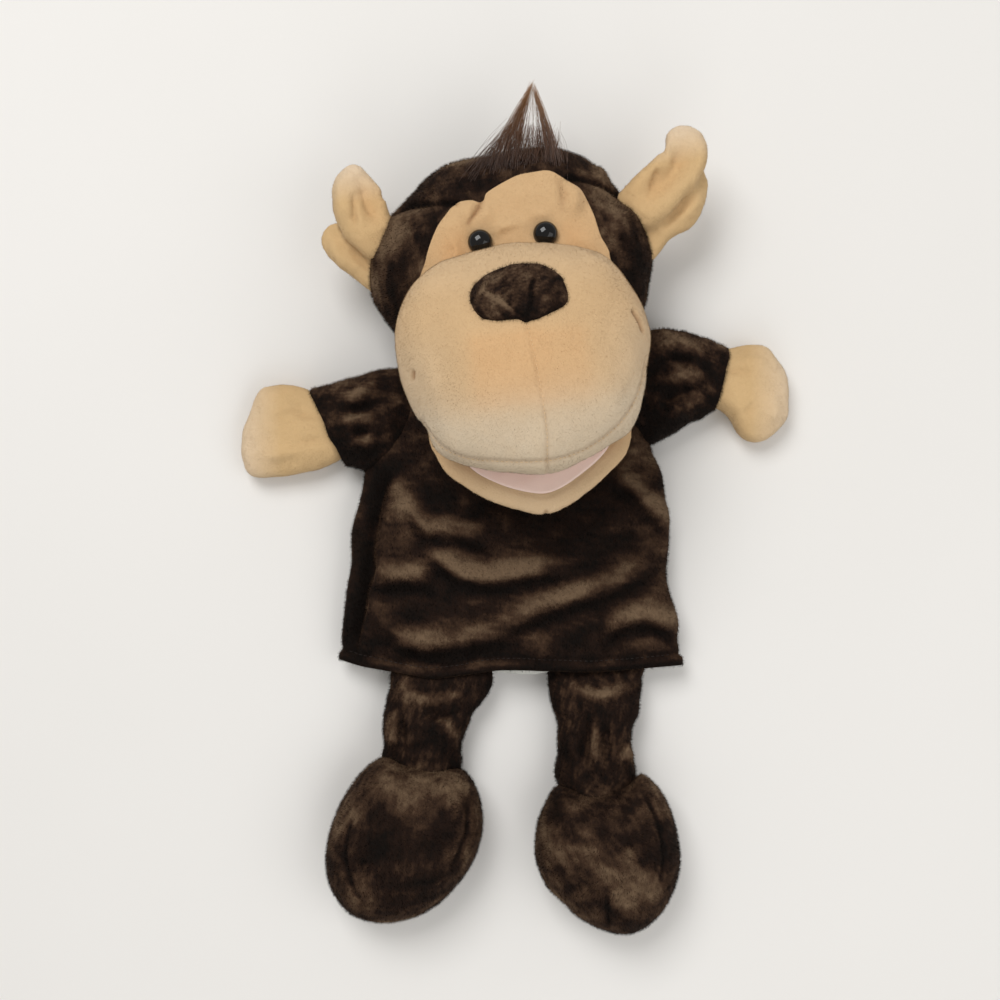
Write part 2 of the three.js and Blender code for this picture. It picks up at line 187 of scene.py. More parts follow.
def face_out(obj, up=False):
    """Turns every face outwards, or upwards where obj is an open patch."""
    made = bmesh.new()
    made.from_mesh(obj.data)
    bmesh.ops.recalc_face_normals(made, faces=made.faces)
    if up and sum(f.normal.z * f.calc_area() for f in made.faces) < 0:
        bmesh.ops.reverse_faces(made, faces=made.faces)
    made.to_mesh(obj.data)
    made.free()


def dome(name, outline, centre, mid, up, down, side=2.4, around=120, rows=44, floor=0.0, grow=0.9):
    """A closed rounded form, widest along its outline at height mid. It grows by what smoothing takes off."""
    loop = smooth_loop(outline, around)
    centre = np.array(centre, float)
    loop += (loop - centre) / np.linalg.norm(loop - centre, axis=1, keepdims=True) * grow
    rings = []
    for angle in np.linspace(-math.pi / 2, math.pi / 2, rows)[1:-1]:
        spread = math.cos(angle) ** (2 / side)
        lift = float(bend(math.sin(angle), side))
        z = mid + lift * (up if lift > 0 else down)
        xy = centre + (loop - centre) * spread
        rings.append(np.column_stack([xy, np.full(around, max(z, floor))]))
    return loft(name, rings)


def cap(name, outline, centre, height, rows=26, around=120, edge=1.2, crown=1.0):
    """A patch of cloth over its outline: height(xy) gives its z, and its rim turns down by edge."""
    loop = smooth_loop(outline, around)
    centre = np.array(centre, float)
    rings = []
    for share in np.linspace(0.02, 1, rows):
        xy = centre + (loop - centre) * share
        z = height(xy) + crown * (1 - share**3)
        rings.append(np.column_stack([xy, z]))
    rim = rings[-1].copy()
    rim[:, 2] -= edge
    under = centre + (rim[:, :2] - centre) * 0.97
    rings += [rim, np.column_stack([under, rim[:, 2] - edge])]
    patch = loft(name, rings, close_start=True, close_end=False)
    face_out(patch, up=True)
    return patch


def coords(obj):
    co = np.zeros(len(obj.data.vertices) * 3, np.float32)
    obj.data.vertices.foreach_get("co", co)
    return co.reshape(-1, 3).astype(float) / MM


def set_coords(obj, co):
    obj.data.vertices.foreach_set("co", (co * MM).astype(np.float32).ravel())
    obj.data.update()


def normals(obj):
    values = np.zeros(len(obj.data.vertices) * 3, np.float32)
    obj.data.vertex_normals.foreach_get("vector", values)
    return values.reshape(-1, 3).astype(float)


def settle(obj):
    """Applies the modifiers on obj."""
    depsgraph = bpy.context.evaluated_depsgraph_get()
    mesh = bpy.data.meshes.new_from_object(obj.evaluated_get(depsgraph))
    obj.modifiers.clear()
    old = obj.data
    obj.data = mesh
    bpy.data.meshes.remove(old)
    obj.data.shade_smooth()


def remesh(obj, voxel, smoothing=6):
    """Rebuilds obj in even faces of about voxel, and rounds off the steps that this leaves."""
    modifier = obj.modifiers.new("remesh", "REMESH")
    modifier.mode = "VOXEL"
    modifier.voxel_size = voxel * MM
    modifier = obj.modifiers.new("smooth", "SMOOTH")
    modifier.iterations = smoothing
    modifier.factor = 0.5
    settle(obj)


def divide(obj):
    modifier = obj.modifiers.new("subdivide", "SUBSURF")
    modifier.levels = modifier.render_levels = 1
    settle(obj)


def thicken(obj, thickness, offset=-1):
    """Makes a sheet as thick as its cloth, inwards, or to both sides where offset is 0."""
    modifier = obj.modifiers.new("cloth_thickness", "SOLIDIFY")
    modifier.thickness = thickness * MM
    modifier.offset = offset
    settle(obj)


def puff(obj, pressure, most):
    """Blows the cloth up over its filling, with no point moving further than most."""
    before = coords(obj)
    modifier = obj.modifiers.new("cloth", "CLOTH")
    cloth = modifier.settings
    cloth.quality = 4
    cloth.mass = 0.15
    cloth.tension_stiffness = cloth.compression_stiffness = 12
    cloth.shear_stiffness = 6
    cloth.bending_stiffness = 0.2
    cloth.use_pressure = True
    cloth.uniform_pressure_force = pressure
    cloth.effector_weights.gravity = 0
    modifier.collision_settings.use_collision = False
    for number in range(1, PUFF_FRAMES + 1):
        bpy.context.scene.frame_set(number)
    settle(obj)
    bpy.context.scene.frame_set(1)
    moved = coords(obj) - before
    length = np.linalg.norm(moved, axis=1, keepdims=True)
    set_coords(obj, before + moved * np.minimum(1, most / np.maximum(length, 1e-9)))


def to_row(obj):
    set_coords(obj, head_point(coords(obj)))
    return obj


def tree(obj):
    faces = [tuple(p.vertices) for p in obj.data.polygons]
    return BVHTree.FromPolygons([v.co for v in obj.data.vertices], faces)


def drop(surface, xy, fallback=0.0):
    """Heights of a surface under points, seen from above."""
    heights = []
    for x, y in xy:
        hit = surface.ray_cast(Vector((x * MM, y * MM, 0.3)), Vector((0, 0, -1)))[0]
        heights.append(hit.z / MM if hit is not None else fallback)
    return np.array(heights)


def nearest(points, path):
    """Distance from each point to a path, and how far along the path it is, from 0 to 1."""
    path = np.array(path, float)
    best = np.full(len(points), 1e9)
    share = np.zeros(len(points))
    lengths = np.linalg.norm(np.diff(path, axis=0), axis=1)
    run = np.concatenate([[0], np.cumsum(lengths)]) / lengths.sum()
    for k in range(len(path) - 1):
        a, d = path[k], path[k + 1] - path[k]
        t = np.clip(((points - a) @ d) / max(d @ d, 1e-9), 0, 1)
        gap = np.linalg.norm(points - (a + t[:, None] * d), axis=1)
        closer = gap < best
        best[closer] = gap[closer]
        share[closer] = (run[k] + t * (run[k + 1] - run[k]))[closer]
    return best, share


def bell(distance, width):
    """1 where the distance is 0, falling smoothly to nearly 0 at twice the width."""
    return np.exp(-((distance / width) ** 2))


def near(points, path, width):
    return bell(nearest(points, path)[0], width)


def blob(u, v, half_u, half_v, fade_u, fade_v):
    """1 inside a rectangle, falling off smoothly outside it."""
    past_u, past_v = (np.maximum(np.abs(a) - half, 0) for a, half in ((u, half_u), (v, half_v)))
    return np.exp(-((past_u / fade_u) ** 2) - (past_v / fade_v) ** 2)


def fold(obj, paths, width, height, tail=0.35):
    """Raises a soft fold (or sinks a crease, with a negative height) along each path, on the upper side.
    It fades out over its two ends, each a share of it as long as tail, or not at all where tail is 0."""
    co = coords(obj)
    n = normals(obj)
    total = np.zeros(len(co))
    for path in paths:
        flat = len(path[0]) == 2
        gap, share = nearest(co[:, :2] if flat else co, smooth_line(path, 24))
        fade = np.clip(np.minimum(share, 1 - share) / tail, 0, 1) if tail else 1.0
        total += bell(gap, width) * fade
    total *= np.clip(n[:, 2] * 2.5, 0, 1)
    set_coords(obj, co + n * (total * height)[:, None])
    return total


def ripple(obj, size, height, seed, floor_clear=1.5):
    """Slow uneven swelling, as stuffing gives, left out where the piece rests on the floor."""
    co = coords(obj)
    n = normals(obj)
    lift = swell(co, size, seed) + 0.4 * swell(co, size * 0.43, seed + 50)
    keep = np.clip((co[:, 2] - floor_clear) / 4, 0, 1)
    set_coords(obj, co + n * (lift * keep * height)[:, None])


def swell(points, size, seed, stretch=(1, 1, 1)):
    """A smooth uneven field of about -1 to 1 whose features are about size across."""
    draw = np.random.default_rng(seed)
    p = points * np.array(stretch, float) / size
    total = np.zeros(len(p))
    for octave in range(9):
        way = draw.normal(size=3)
        way /= np.linalg.norm(way)
        side = draw.normal(size=3)
        warp = 0.9 * np.sin(p @ side * 1.7 + draw.uniform(0, 6.3))
        total += np.sin(p @ way * draw.uniform(2.2, 4.4) + warp + draw.uniform(0, 6.3))
    return total / 3.2


def stroke(obj, lit=0.0, size=20, seed=1, stretch=(1, 1, 1), level=0.4, lit_slope=0.45, contrast=0.34):
    """Paints the light and shade that the pile's lie gives, as colour: 0 is deep painted shade and 1 is painted
    brushed sheen.
    Slopes towards the head, where the key light stands, are painted lighter."""
    co = coords(obj)
    n = normals(obj)
    broad = swell(co, size, seed, stretch)
    streaks = swell(co, size * 0.3, seed + 7, stretch)
    specks = swell(co, size * 0.11, seed + 13, stretch)
    value = level + contrast * broad + 0.13 * streaks + 0.08 * specks + lit_slope * n[:, 1] + lit
    paint(obj, "nap_sheen_and_shade", np.clip(value, 0, 1))


def paint(obj, name, values):
    attribute = obj.data.attributes.get(name) or obj.data.attributes.new(name, "FLOAT", "POINT")
    attribute.data.foreach_set("value", np.asarray(values, np.float32))


def rest_on_floor(obj, low=0.25):
    co = coords(obj)
    co[:, 2] = np.maximum(co[:, 2], low)
    set_coords(obj, co)


# ---- Materials ----


def linear(r, g, b):
    values = [c / 255 for c in (r, g, b)]
    return (*[v / 12.92 if v <= 0.04045 else ((v + 0.055) / 1.055) ** 2.4 for v in values], 1.0)


class Nodes:
    def __init__(self, name):
        self.material = bpy.data.materials.new(name)
        self.material.use_nodes = True
        self.tree = self.material.node_tree
        self.shader = self.tree.nodes["Principled BSDF"]

    def add(self, kind, inputs=None, **settings):
        node = self.tree.nodes.new(kind)
        for key, value in settings.items():
            setattr(node, key, value)
        for key, value in (inputs or {}).items():
            if isinstance(value, bpy.types.NodeSocket):
                self.tree.links.new(value, node.inputs[key])
            else:
                node.inputs[key].default_value = value
        return node

    def place(self, stretch=(1, 1, 1), turn=0.0):
        where = self.add("ShaderNodeTexCoord").outputs["Object"]
        inputs = {"Vector": where, "Scale": stretch, "Rotation": (0, 0, turn)}
        return self.add("ShaderNodeMapping", inputs).outputs[0]

    def noise(self, vector, scale, detail=3.0, rough=0.55, distortion=0.0):
        inputs = {
            "Vector": vector,
            "Scale": scale,
            "Detail": detail,
            "Roughness": rough,
            "Distortion": distortion,
        }
        return self.add("ShaderNodeTexNoise", inputs).outputs["Fac"]

    def math(self, operation, a, b, clamp=False):
        node = self.add("ShaderNodeMath", {0: a, 1: b}, operation=operation)
        node.use_clamp = clamp
        return node.outputs[0]

    def ramp(self, factor, stops):
        node = self.add("ShaderNodeValToRGB", {"Fac": factor})
        elements = node.color_ramp.elements
        while len(elements) < len(stops):
            elements.new(0.5)
        for element, (position, color) in zip(elements, stops):
            element.position = position
            element.color = color
        return node.outputs["Color"]

    def mix(self, factor, a, b, blend="MIX"):
        node = self.add("ShaderNodeMix", data_type="RGBA", blend_type=blend)
        for index, value in ((0, factor), (6, a), (7, b)):
            if isinstance(value, bpy.types.NodeSocket):
                self.tree.links.new(value, node.inputs[index])
            else:
                node.inputs[index].default_value = value
        return node.outputs[2]

    def span(self, value, low, high):
        inputs = {"Value": value, "To Min": low, "To Max": high}
        return self.add("ShaderNodeMapRange", inputs).outputs[0]

    def finish(self, color, roughness, bumps, sheen=0.0, sheen_tint=(1, 1, 1, 1), sheen_rough=0.4):
        s = self.shader.inputs
        self.tree.links.new(color, s["Base Color"])
        self.tree.links.new(roughness, s["Roughness"])
        s["Sheen Weight"].default_value = sheen
        s["Sheen Roughness"].default_value = sheen_rough
        s["Sheen Tint"].default_value = sheen_tint
        last = None
        for height, strength, distance in bumps:
            inputs = {"Height": height, "Strength": strength, "Distance": distance * MM}
            if last is not None:
                inputs["Normal"] = last
            last = self.add("ShaderNodeBump", inputs).outputs[0]
        self.tree.links.new(last, s["Normal"])
        return self.material


BROWN_SHINE = 0.12


def brown_plush(name, turn=0.0):
    """Short brown pile, near black where its painted shade lies and a muted grey-brown where its painted
    brushed sheen lies.
    """
    n = Nodes(name)
    grain = n.noise(n.place((1, 0.55, 1), turn), 850, 2.0, 0.7)
    clumps = n.noise(n.place((1, 0.7, 1), turn), 320, 3.0, 0.65, 0.4)
    fine = n.noise(n.place((1, 0.6, 1), turn), 1700, 2.0, 0.6)
    # The nap value holds the painted sheen and the painted shade.
    nap_sheen_and_shade = n.add("ShaderNodeAttribute", attribute_name="nap_sheen_and_shade").outputs["Fac"]
    level = n.math("ADD", nap_sheen_and_shade, n.math("MULTIPLY", n.math("SUBTRACT", grain, 0.5), 0.34))
    level = n.math("ADD", level, n.math("MULTIPLY", n.math("SUBTRACT", clumps, 0.5), 0.4))
    color = n.ramp(
        level,
        [
            (0.0, linear(13, 7, 4)),
            (0.32, linear(32, 19, 12)),
            (0.6, linear(64, 46, 33)),
            (1.0, linear(108, 88, 68)),
        ],
    )
    bumps = [(clumps, 0.5, 0.7), (grain, 0.55, 0.45), (fine, 0.4, 0.25)]
    n.shader.inputs["Specular IOR Level"].default_value = BROWN_SHINE
    return n.finish(color, n.span(grain, 0.72, 0.98), bumps, 0.12, linear(190, 140, 98), 0.35)


def beige_plush(name, base, warm, pale, deep):
    """Short yellow-beige pile. The mesh says where it is warmer and where it is paler."""
    n = Nodes(name)
    where = n.place()
    broad = n.noise(where, 34, 3.0, 0.55, 0.8)
    grain = n.noise(where, 1100, 2.0, 0.7)
    cloudy = n.noise(where, 150, 3.0, 0.6, 0.5)
    color = n.mix(n.span(broad, 0.0, 0.75), base, deep)
    warmth = n.add("ShaderNodeAttribute", attribute_name="warm").outputs["Fac"]
    fade = n.add("ShaderNodeAttribute", attribute_name="pale").outputs["Fac"]
    color = n.mix(n.math("MULTIPLY", warmth, n.span(cloudy, 0.65, 1.0), True), color, warm)
    color = n.mix(n.math("MULTIPLY", fade, n.span(cloudy, 0.75, 1.0), True), color, pale)
    # Darker along the seams, with painted shade in the creases and dents that the mesh marks.
    dark_seams_and_crease_shade = n.add("ShaderNodeAttribute", attribute_name="dark_seams_and_crease_shade").outputs["Fac"]
    color = n.mix(n.math("MULTIPLY", dark_seams_and_crease_shade, 0.6, True), color, linear(150, 108, 70))
    color = n.mix(n.span(grain, 0.0, 0.3), color, n.mix(0.5, color, linear(120, 88, 55), "MULTIPLY"))
    rough = n.span(grain, 0.78, 0.98)
    fine = n.noise(where, 2100, 2.0, 0.6)
    bumps = [(cloudy, 0.25, 0.6), (grain, 0.5, 0.4), (fine, 0.35, 0.2)]
    return n.finish(color, rough, bumps, 0.2, linear(255, 235, 205), 0.4)


def woven(name, thread, shadow, pitch=0.55, sheen=0.1, rough=(0.7, 0.9)):
    """Plain woven cloth with its threads crossing each way."""
    n = Nodes(name)
    where = n.place()
    waves = []
    for turn in (0.0, math.pi / 2):
        inputs = {
            "Vector": n.place((1, 1, 1), turn),
            "Scale": math.pi / 10 / (pitch * MM),
            "Distortion": 0.6,
            "Detail": 1.0,
            "Detail Scale": 2.0,
        }
        waves.append(n.add("ShaderNodeTexWave", inputs, bands_direction="X").outputs["Fac"])
    weave = n.math("MAXIMUM", waves[0], waves[1])
    cloudy = n.noise(where, 60, 3.0)
    color = n.mix(n.span(weave, 0.0, 1.0), shadow, thread)
    color = n.mix(n.span(cloudy, 0.0, 0.35), color, shadow)
    return n.finish(color, n.span(cloudy, *rough), [(cloudy, 0.2, 0.8), (weave, 0.5, 0.15)], sheen)


def plain(name, low, high, rough, scale=300, bump=0.2, clear=0.0, sheen=0.0):
    """A smooth or matte surface with slight unevenness, for small hard parts, thread and filling."""
    n = Nodes(name)
    where = n.place()
    cloudy = n.noise(where, scale, 4.0)
    n.shader.inputs["Coat Weight"].default_value = clear
    n.shader.inputs["Specular IOR Level"].default_value = 0.25 if clear else 0.5
    n.shader.inputs["Coat Roughness"].default_value = 0.03
    return n.finish(n.mix(cloudy, low, high), n.span(cloudy, *rough), [(cloudy, bump, 0.2)], sheen)


BROWN = brown_plush("brown_plush_look")
BROWN_DOWN = brown_plush("brown_plush_limbs", 0.25)
FACE = beige_plush(
    "beige_plush_face",
    linear(213, 179, 134), linear(216, 168, 116), linear(210, 196, 173), linear(199, 165, 122),
)
LIMB = beige_plush(
    "beige_plush_limbs",
    linear(212, 180, 132), linear(208, 165, 114), linear(231, 212, 188), linear(200, 166, 118),
)
PINK = woven("pink_lining_look", linear(250, 226, 214), linear(238, 208, 196), 0.5, 0.2)
WHITE = woven("white_lining_look", linear(228, 228, 220), linear(196, 196, 190), 0.5)
GLOSS_BLACK = plain("eye_plastic", linear(7, 6, 6), linear(12, 10, 10), (0.04, 0.1), 120, 0.02, 0.3)
DARK_THREAD = plain("dark_thread", linear(26, 17, 13), linear(44, 32, 26), (0.6, 0.85), 2000, 0.3)
PALE_THREAD = plain("pale_thread", linear(212, 182, 138), linear(232, 206, 164), (0.6, 0.85), 2000, 0.3)
CARD = plain("grey_board", linear(140, 132, 122), linear(166, 158, 146), (0.8, 0.95), 500, 0.4)
WASHER = plain("white_plastic", linear(222, 222, 216), linear(236, 236, 232), (0.3, 0.5), 200, 0.1)


def dress(obj, material, body, *nodes, slot=None, fill=None):
    """Gives a finished piece its look and its body, and hides the CAD solids that it stands for."""
    obj.data.materials.clear()
    obj.data.materials.append(material)
    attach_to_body(obj, body)
    if nodes:
        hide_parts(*nodes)
    return obj


# ---- Pile: short fibres that stand on the plush ----


def shade(name, color, shine=0.25):
    material = bpy.data.materials.new(name)
    material.use_nodes = True
    inputs = material.node_tree.nodes["Principled BSDF"].inputs
    inputs["Base Color"].default_value = color
    inputs["Roughness"].default_value = 0.85
    inputs["Specular IOR Level"].default_value = shine
    return material


# Copies of the brown pile's colour, from deep painted shade to painted brushed sheen, that the fibres take by
# the nap value.
BROWN_SHADES = [
    shade("pile_brown_deep", linear(15, 8, 5), BROWN_SHINE),
    shade("pile_brown_dark", linear(35, 21, 13), BROWN_SHINE),
    shade("pile_brown_mid", linear(68, 49, 34), BROWN_SHINE),
    shade("pile_brown_light", linear(101, 80, 60), BROWN_SHINE),
    shade("pile_brown_sheen", linear(124, 103, 80), BROWN_SHINE),
]
FACE_SHADES = [
    shade("pile_face_warm", linear(215, 169, 119)),
    shade("pile_face_mid", linear(211, 177, 134)),
    shade("pile_face_soft", linear(212, 185, 148)),
    shade("pile_face_pale", linear(213, 200, 179)),
]
LIMB_SHADES = [
    shade("pile_limb_warm", linear(207, 165, 114)),
    shade("pile_limb_mid", linear(212, 180, 132)),
    shade("pile_limb_soft", linear(219, 191, 148)),
    shade("pile_limb_pale", linear(234, 217, 194)),
]


def read(obj, name):
    attribute = obj.data.attributes.get(name)
    values = np.zeros(len(obj.data.vertices), np.float32)
    if attribute is not None:
        attribute.data.foreach_get("value", values)
    return values


def unit(vectors):
    return vectors / np.maximum(np.linalg.norm(vectors, axis=1, keepdims=True), 1e-9)


def pile(obj, shades, tone, density, length, width=0.17, seed=1, lean=0.8, loose=0.28, lowest=-0.4):
    """Fibres over the parts of obj that don't face down.
    tone(obj) is 0 to 1 at each vertex and picks a fibre's shade."""
    mesh = obj.data
    mesh.calc_loop_triangles()
    corners = np.zeros(len(mesh.loop_triangles) * 3, np.int32)
    mesh.loop_triangles.foreach_get("vertices", corners)
    corners = corners.reshape(-1, 3)
    co, n, tones = coords(obj), normals(obj), tone(obj)
    a, b, c = (co[corners[:, k]] for k in range(3))
    area = np.linalg.norm(np.cross(b - a, c - a), axis=1) / 2
    area *= n[corners].mean(axis=1)[:, 2] > lowest
    draw = np.random.default_rng(seed)
    count = int(area.sum() * density)
    pick = corners[draw.choice(len(corners), count, p=area / area.sum())]
    r, q = np.sqrt(draw.random(count)), draw.random(count)
    parts = np.stack([1 - r, r * (1 - q), r * q], 1)
    root = (co[pick] * parts[:, :, None]).sum(axis=1)
    up = unit((n[pick] * parts[:, :, None]).sum(axis=1))
    level = (tones[pick] * parts).sum(axis=1) + 0.1 * draw.normal(size=count)
    flow = np.stack([swell(root, 16, seed + k) for k in range(3)], 1) * 0.5 + (0, -0.35, 0)
    along = flow - up * (flow * up).sum(axis=1, keepdims=True)
    way = unit(up + lean * along + loose * draw.normal(size=(count, 3)))
    reach = length * draw.uniform(0.65, 1.15, (count, 1))
    side = unit(np.cross(way, draw.normal(size=(count, 3)))) * width / 2
    root = root - up * 0.15
    verts = np.stack([root - side, root + side, root + way * reach], 1).reshape(-1, 3)
    fibres = bpy.data.meshes.new(obj.name + "_pile")
    fibres.vertices.add(len(verts))
    fibres.vertices.foreach_set("co", (verts * MM).astype(np.float32).ravel())
    fibres.loops.add(len(verts))
    fibres.loops.foreach_set("vertex_index", np.arange(len(verts), dtype=np.int32))
    fibres.polygons.add(count)
    fibres.polygons.foreach_set("loop_start", np.arange(count, dtype=np.int32) * 3)
    fibres.polygons.foreach_set(
        "material_index", np.clip((level * len(shades)).astype(np.int32), 0, len(shades) - 1)
    )
    fibres.update(calc_edges=True)
    facing = unit(up + loose * draw.normal(size=(count, 3)))
    fibres.normals_split_custom_set_from_vertices(np.repeat(facing, 3, axis=0).tolist())
    for material in shades:
        fibres.materials.append(material)
    made = bpy.data.objects.new(obj.name + "_pile", fibres)
    bpy.context.scene.collection.objects.link(made)
    return made


def brown_tone(obj):
    # Fibres take their shade from the painted sheen and shade in the nap value.
    return read(obj, "nap_sheen_and_shade") * 0.95


def beige_tone(obj):
    # Fibre shades follow the pale and warm values, and with them the painted shade of the ear hollows and the
    # painted light on the jaw.
    return np.clip(0.45 + 0.5 * read(obj, "pale") - 0.4 * read(obj, "warm"), 0, 0.99)


def brown_pile(obj, body=None, between=None, seed=1, density=2.4):
    attach(pile(obj, BROWN_SHADES, brown_tone, density, 1.7, 0.16, seed), body, between, "brown_plush")


def beige_pile(obj, shades, body=None, between=None, seed=1, density=3.0):
    attach(pile(obj, shades, beige_tone, density, 0.75, 0.12, seed, 0.5, 0.1), body, between, "beige_plush")


def attach(obj, body, between, slot, *nodes, fill=None):
    """Rides obj on one body. Where between is given, (body a, body b, start, end), obj only has its place baked
    into its mesh and rides on no body.
    Hides the CAD solids that it stands for."""
    if between:
        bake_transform(obj)
    else:
        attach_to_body(obj, body)
    if nodes:
        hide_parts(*nodes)


# ---- Glove body ----

# Rows from the hem to the neck: how far along, left edge, right edge, height of the front.
TORSO = [
    (-81, -90, 84, 22),
    (-70, -88, 82, 24.5),
    (-52, -85, 79.5, 27),
    (-34, -84, 76.5, 28),
    (-12, -82, 78, 28.5),
    (14, -77.5, 74, 28),
    (34, -72.5, 69.5, 27),
    (50, -68.5, 66.5, 26),
    (62, -63, 62, 25),
    (70, -54, 54, 24),
    (74.5, -42, 46, 23),
    (76, -33, 40, 22),
]
HEM = [(-92, -76), (-74, -80), (-43, -85.5), (-9, -81), (20, -81.5), (42, -82), (86, -79)]
HEM_STITCH = 5.8  # from the hem's edge
# Each fold is a lit ridge with a shaded hollow on the side towards the feet.
BELLY_FOLDS = [
    [(-57.5, 15), (-55.5, 4.5), (-50, -5), (-41, -9.5), (-30, -10), (-20, -13.5), (-9, -19)],
    [(-48, -11), (-43, -18), (-35, -27), (-25, -32), (-10.5, -33.5), (5, -30), (20, -29), (32, -32)],
    [(-74, -34), (-64, -33), (-52, -32.5), (-40, -35)],
    [
        (-73.5, -40), (-67, -54.5), (-57.5, -65.5), (-44.5, -67), (-30, -65), (-14, -63.5),
        (-3, -57), (11, -49.5), (29, -43), (47.5, -38.5), (65.5, -27), (75, -14),
    ],
    [(40, -62), (52, -56), (65, -53), (76, -58), (78, -68)],
    [(47.5, 22.5), (59.5, 9), (71, -3), (74, -12)],
]
SMALL_FOLDS = [
    [(-27.5, 9), (-25, 2), (-22, -5)],
    [(-46, 26), (-43, 16), (-38, 8)],
    [(-14, 4), (-6, -8), (2, -18)],
    [(20, -2), (34, 4), (50, 6)],
    [(62, 44), (58, 30), (61, 18)],
    [(10, -80), (14, -70), (10, -60)],
]
BROAD_LIGHT = [  # where painted brushed light lies between the folds
    [(-57, 14), (-61, 0), (-66, -14), (-70, -30)],
    [(-50, -2), (-56, -14), (-58, -28)],
    [(76, 6), (78, -14), (75, -34), (72, -52)],
]
SIDE_FOLD = [(-58, 20), (-63, 4), (-67, -20), (-71, -44), (-77, -74)]


def torso_ring(row, around, inset=0.0, longer=0.0):
    y, left, right, top = row
    angle = np.linspace(0, 2 * math.pi, around, endpoint=False)
    x = (left + right) / 2 + bend(np.cos(angle), 2.7) * ((right - left) / 2 - inset)
    z = top / 2 + bend(np.sin(angle), 2.7) * (top / 2 - inset)
    z = np.maximum(z, inset + 0.3)
    low = np.array(HEM, float)
    share = np.clip((14 - y) / 95, 0, 1) ** 2
    drop_by = (np.interp(x, low[:, 0], low[:, 1]) + 81) * share
    between = np.clip(1 - np.abs((x - 3) / 17) ** 4, 0, 1)
    return np.column_stack([x, np.full(around, float(y)) + drop_by - longer * share * (2.6 * between - 1), z])


def make_torso():
    rows = smooth_line(TORSO, 100)
    body = loft("glove_plush", [torso_ring(r, 230) for r in rows], False, True)
    ripple(body, 30, 1.1, 3)
    ridges = fold(body, BELLY_FOLDS, 6.0, 3.8, tail=0.22)
    hollows = [[(x + 1, y - 9.5) for x, y in path] for path in BELLY_FOLDS]
    sunk = fold(body, hollows, 4.0, -2.4, tail=0.2)
    small = fold(body, SMALL_FOLDS, 4.0, 1.8)
    left_edge = [(x - 5.5, y) for x, y in SIDE_FOLD]
    fold(body, [left_edge], 4.2, -6.5, tail=0.12)
    side = fold(body, [SIDE_FOLD], 4.5, 2.0, tail=0.12)
    co = coords(body)
    line = np.array(HEM, float)
    edge = co[:, 1] - np.interp(co[:, 0], line[:, 0], line[:, 1])
    n = normals(body)
    band = np.clip(1 - np.abs(edge - 2.6) / 3.0, 0, 1) ** 0.5 * 0.9
    pucker = swell(co, 5, 21, (1, 0.3, 0.5))
    pinch = -1.3 * bell(edge - HEM_STITCH, 0.9) * (1 + 0.5 * pucker)
    wave = pucker * 1.1 * np.clip(1 - (edge - 6) / 22, 0, 1) * (edge > 5)
    set_coords(body, co + n * (band + pinch + wave)[:, None])
    # Painted shade: the strip left of the side fold, and the chest under the jaw, are painted darker.
    shade = near(co[:, :2], left_edge, 6) * np.clip(n[:, 2] * 2, 0, 1)
    under = np.clip(1 - np.hypot((co[:, 0] - 8) / 62, (co[:, 1] - 10) / 24) ** 2, 0, 1)
    patchy = np.clip(0.9 + 0.25 * swell(co, 15, 24, (1, 0.6, 1)), 0.72, 1.2)
    broad = fold(body, BROAD_LIGHT, 7.0, 0.0, tail=0.3)
    # Painted highlights on the fold ridges and in broad bands between them, painted shade in the hollows below
    # the ridges.
    lit = 0.62 * np.clip(ridges, 0, 1) * patchy + 0.3 * np.clip(broad, 0, 1) * patchy - 0.2 * sunk
    lit += 0.2 * small + 0.2 * side - 0.5 * shade - 0.3 * under
    stroke(body, lit, 26, 31, (0.6, 1.5, 1), 0.29, 0.55, 0.1)
    thicken(body, PLUSH_THICK)
    rest_on_floor(body)
    dress(body, BROWN, "torso", "body_front", "body_back", slot="brown_plush")
    return body


def make_glove_lining():
    rows = smooth_line(TORSO, 40)
    rings = [torso_ring(r, 110, 4.2, 1.45) for r in rows]
    lining = loft("glove_lining_cloth", rings, False, True)
    left_edge = [(x - 5.5, y) for x, y in SIDE_FOLD]
    fold(lining, [left_edge], 6.0, -7.5, tail=0.05)
    fold(lining, [[(x + 1, y - 9.5) for x, y in path] for path in BELLY_FOLDS], 5.5, -3.0, tail=0.1)
    thicken(lining, LINING_THICK)
    dress(lining, WHITE, "torso", "lining_front", "lining_back", slot="white_lining")


torso = make_torso()
brown_pile(torso, "torso", seed=101)
make_glove_lining()


# How far along, half width, underside and top.
NECK_ROWS = [
    (60, 42, 3, 22), (66, 43, 1.5, 27), (73, 41, 1.5, 31), (80, 39, 2, 36), (87, 37, 3, 40), (92, 28, 7, 36),
]


def make_neck():
    """The plush that runs on from the shoulders into the head."""
    rings = []
    for y, half, low, high in NECK_ROWS:
        angle = np.linspace(0, 2 * math.pi, 96, endpoint=False)
        x = 4 + bend(np.cos(angle), 2.6) * half
        z = (low + high) / 2 + bend(np.sin(angle), 2.6) * (high - low) / 2
        rings.append(np.column_stack([x, np.full(96, float(y)), z]))
    neck = loft("neck_plush", rings, False, False)
    divide(neck)
    ripple(neck, 12, 0.7, 5)
    fold(neck, [[(-30, 68), (-10, 70), (14, 69), (36, 72)], [(-24, 76), (4, 78), (30, 78)]], 2.4, 1.6)
    stroke(neck, -0.1, 14, 33)
    thicken(neck, PLUSH_THICK)
    neck.data.materials.append(BROWN)
    bend_over = ("torso", "neck", (0.004, 0.068, 0.015), (0.004, 0.078, 0.015))
    brown_pile(neck, between=bend_over, seed=102)
    attach(neck, None, bend_over, "brown_plush", "neck_lining")


make_neck()

# ---- Head ----

